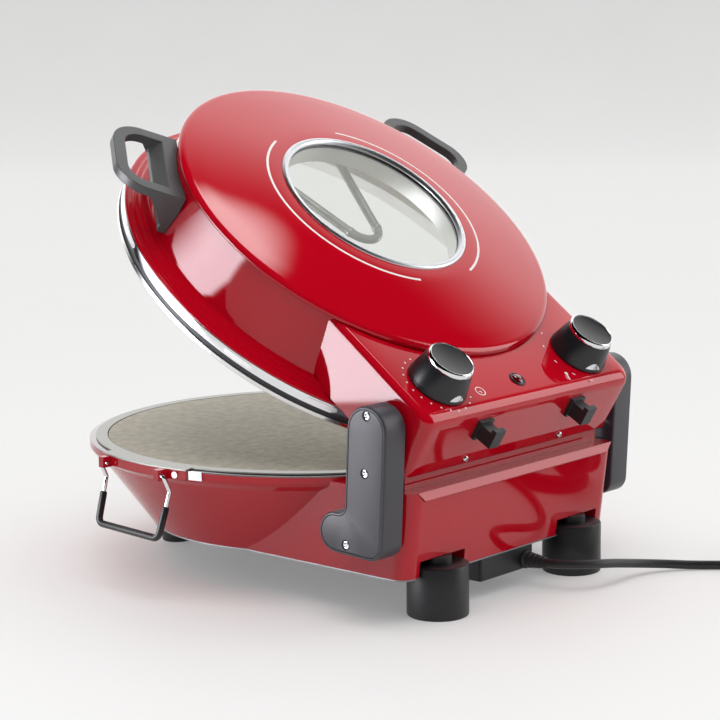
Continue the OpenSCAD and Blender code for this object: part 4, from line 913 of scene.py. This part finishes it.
# The dots behind the timer lie on the fold of the box's upper edge, and lean with it.
dot_ring, dot_radius = 26.3, 0.75
stroke_ring = 30
fold_start = box_rear_foot - box_slope * (box_high - rear_round - slope_start) - rear_round
dial_marks = []
for angle in range(-83, 139, 17):
    x, y = knob_side + dot_ring * cos(radians(angle)), knob_back + dot_ring * sin(radians(angle))
    lean = asin(max(0, y - fold_start) / rear_round)
    dial_marks.append(moved(printed_ring(0, dot_radius, 16),
                            Matrix.Translation((x, y, rear_round * (cos(lean) - 1)))
                            @ Matrix.Rotation(-lean, 4, "X")))
for angle in (-58, -26, 6, 37, 66):
    x, y = stroke_ring * cos(radians(angle)) - knob_side, stroke_ring * sin(radians(angle)) + knob_back
    dial_marks.append(stroke(x, y, 2.6, 0.8, angle + 90))
clock = Matrix.Translation((48.4, 181.5, 0))
dial_marks.append(moved(printed_ring(3.6, 4.3, 40), clock))
dial_marks += [moved(stroke(0, 0.9, 2.4, 0.6, 90), clock), moved(stroke(0.7, 0, 1.8, 0.6, 0), clock)]
bulb = Matrix.Translation((-51, 183.1, 0)) @ Matrix.Rotation(radians(-20), 4, "Z")
dial_marks.append(moved(printed_ring(0, 1.5, 24), bulb))
dial_marks += [moved(stroke(0, 3.6, 6, 1.1, 90), bulb)]
dial_marks += [moved(stroke(1.9, 3 + 1.6 * k, 1.4, 0.5, 0), bulb) for k in range(3)]
piece("dial_prints", joined(*dial_marks), at_lid @ Matrix.Translation((0, 0, box_high)), ink, "lid")

# ---------- Cord hooks ----------
# Two black mouldings on the control box's rear wall: a square foot and a thick post with an upturned
# lip. Spare cord can be wound round them.
dress(moulded, "cord_hook_left", "cord_hook_right")

# ---------- Table, backdrop and light ----------
# Pale matt table, with a pale sweep behind the object that reflections and soft light leave out. A
# wall, a ceiling lamp, a softbox and a window are reflected, and a large soft lamp hangs overhead.
pale = (0.70, 0.698, 0.695)
lift, far_lift = 0.19, 1.2
lift_centre, lift_near, lift_far = (0.3, 0, 0), 0.7, 3.0
face_away = Matrix.Rotation(view_azimuth, 4, "Z")


def reckoned(tree, kind, operation, *sources, gives="Value"):
    """What a node of arithmetic gives for its sources, each a socket or a plain value."""
    node = tree.nodes.new("ShaderNode" + kind)
    node.operation = operation
    for socket, source in zip(node.inputs, sources):
        if isinstance(source, bpy.types.NodeSocket):
            tree.links.new(source, socket)
        else:
            socket.default_value = source
    return node.outputs[gives]


def staged(name, form):
    """A plain matt surface that isn't part of the object. What is seen of it is lifted a little,
    directly, in reflections and through glass, while the light that it sheds stays the same."""
    points, faces = form
    mesh = bpy.data.meshes.new(name)
    mesh.from_pydata([face_away @ Vector(p) for p in points], [], faces)
    mesh.shade_smooth()
    paper = finish(name, pale, 0.7, drift=0.012, patch=5, grain=0.05, grain_size=60)
    tree = paper.node_tree
    ray = tree.nodes.new("ShaderNodeLightPath").outputs
    seen = ray["Is Camera Ray"]
    for kind in ("Is Glossy Ray", "Is Transmission Ray"):
        seen = reckoned(tree, "Math", "MAXIMUM", seen, ray[kind])
    place = tree.nodes.new("ShaderNodeTexCoord").outputs["Object"]
    away = reckoned(tree, "VectorMath", "DISTANCE", place, lift_centre)
    share = ramp(tree, away, lift_near, lift_far, lift, lift * far_lift)
    shader = tree.nodes["Principled BSDF"]
    tree.links.new(reckoned(tree, "Math", "MULTIPLY", seen, share), shader.inputs["Emission Strength"])
    shader.inputs["Emission Color"].default_value = (1, 0.99, 0.985, 1)
    mesh.materials.append(paper)
    obj = bpy.data.objects.new(name, mesh)
    scene.collection.objects.link(obj)
    obj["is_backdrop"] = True
    return obj


table_half = 6
table_corners = [(x * table_half, y * table_half, 0) for x, y in ((-1, -1), (1, -1), (1, 1), (-1, 1))]
staged("table", (table_corners, [[0, 1, 2, 3]]))
sweep_start, sweep_bend, sweep_top, sweep_foot = 3.6, 1.2, 3.4, 0.001
sweep = []
for across in (-table_half, table_half):
    line = [(across, sweep_start + sweep_bend * sin(radians(a)),
             sweep_foot + sweep_bend - sweep_bend * cos(radians(a))) for a in range(0, 91, 5)]
    sweep.append(line + [(across, sweep_start + sweep_bend, sweep_top)])
backdrop = staged("backdrop", skin(sweep, around=False))
backdrop.visible_glossy = False
backdrop.visible_diffuse = False

world = bpy.data.worlds.new("studio")
scene.world = world
world.use_nodes = True
sky = world.node_tree
sky_way = sky.nodes.new("ShaderNodeTexCoord").outputs["Generated"]
ray_kind = sky.nodes.new("ShaderNodeLightPath").outputs


def bright_region(direction, edge, full, level, upright=1):
    """Brightness that rises to level where a ray's direction nears the given one."""
    way = reckoned(sky, "VectorMath", "MULTIPLY", sky_way, (1, 1, upright), gives="Vector")
    way = reckoned(sky, "VectorMath", "NORMALIZE", way, gives="Vector")
    nearness = reckoned(sky, "VectorMath", "DOT_PRODUCT", way, Vector(direction).normalized())
    return ramp(sky, nearness, edge, full, 0, level)


def summed(first, second):
    return reckoned(sky, "Math", "ADD", first, second)


def blended(kind, value, rest):
    """One brightness for rays of a kind, and another for the rest."""
    mix = sky.nodes.new("ShaderNodeMix")
    sky.links.new(ray_kind[kind], mix.inputs["Factor"])
    sky.links.new(rest, mix.inputs["A"])
    if isinstance(value, bpy.types.NodeSocket):
        sky.links.new(value, mix.inputs["B"])
    else:
        mix.inputs["B"].default_value = value
    return mix.outputs["Result"]


# Glossy surfaces reflect a pale wall behind the object, a tall window at the rear, a round ceiling
# lamp and a dark ceiling. Light for matt surfaces comes more from the side of that wall.
reflected = summed(bright_region((-0.75, -0.66, 0), 0.39, 0.70, 1.5),
                   bright_region((-0.777, 0.629, 0.158), 0.951, 0.978, 3.2, upright=0.45))
reflected = summed(reflected, bright_region((-0.43, 0.02, 0.90), 0.987, 0.997, 6.5))
ambient = summed(bright_region((-0.7, 0.1, 0.6), -1, 1, 0.8), 0.22)
seen_wall = 0.9
strength = blended("Is Glossy Ray", reflected, ambient)
strength = blended("Is Transmission Ray", seen_wall, strength)
strength = blended("Is Camera Ray", seen_wall, strength)
background = sky.nodes["Background"]
background.inputs["Color"].default_value = (1, 0.998, 0.995, 1)
sky.links.new(strength, background.inputs["Strength"])


def softbox(name, place, aim, width, height, radiance, reflections):
    """A rectangular lamp, either for lighting alone or as a reflection in glossy surfaces."""
    light = bpy.data.lights.new(name, "AREA")
    light.shape = "RECTANGLE"
    light.size, light.size_y = width, height
    light.energy = radiance * pi * width * height
    lamp = bpy.data.objects.new(name, light)
    facing = (Vector(place) - Vector(aim)).to_track_quat("Z", "Y").to_matrix().to_4x4()
    lamp.matrix_world = Matrix.Translation(Vector(place)) @ facing
    lamp.visible_camera = False
    lamp.visible_diffuse = not reflections
    lamp.visible_glossy = reflections
    scene.collection.objects.link(lamp)
    if reflections:
        # The reflected lamp is cool, and fades out towards both its sides.
        light.color = (0.94, 0.93, 1.0)
        light.use_nodes = True
        tree = light.node_tree
        split = tree.nodes.new("ShaderNodeSeparateXYZ")
        tree.links.new(tree.nodes.new("ShaderNodeNewGeometry").outputs["Parametric"], split.inputs[0])
        across = split.outputs["X"]
        fade = reckoned(tree, "Math", "MULTIPLY", ramp(tree, across, 0, 0.6), ramp(tree, across, 1, 0.9))
        tree.links.new(fade, tree.nodes["Emission"].inputs["Strength"])


softbox("window_reflection", place=(0.66, -0.46, 0.235), aim=(0.14, 0.04, 0.235), width=0.66, height=0.46,
        radiance=13, reflections=True)
softbox("overhead", place=(0.6, 0.35, 2.2), aim=(0, 0, 0.15), width=1.4, height=1.4, radiance=2.4,
        reflections=False)

size = [[list(corner) for corner in cad_box], [list(corner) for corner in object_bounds()]]
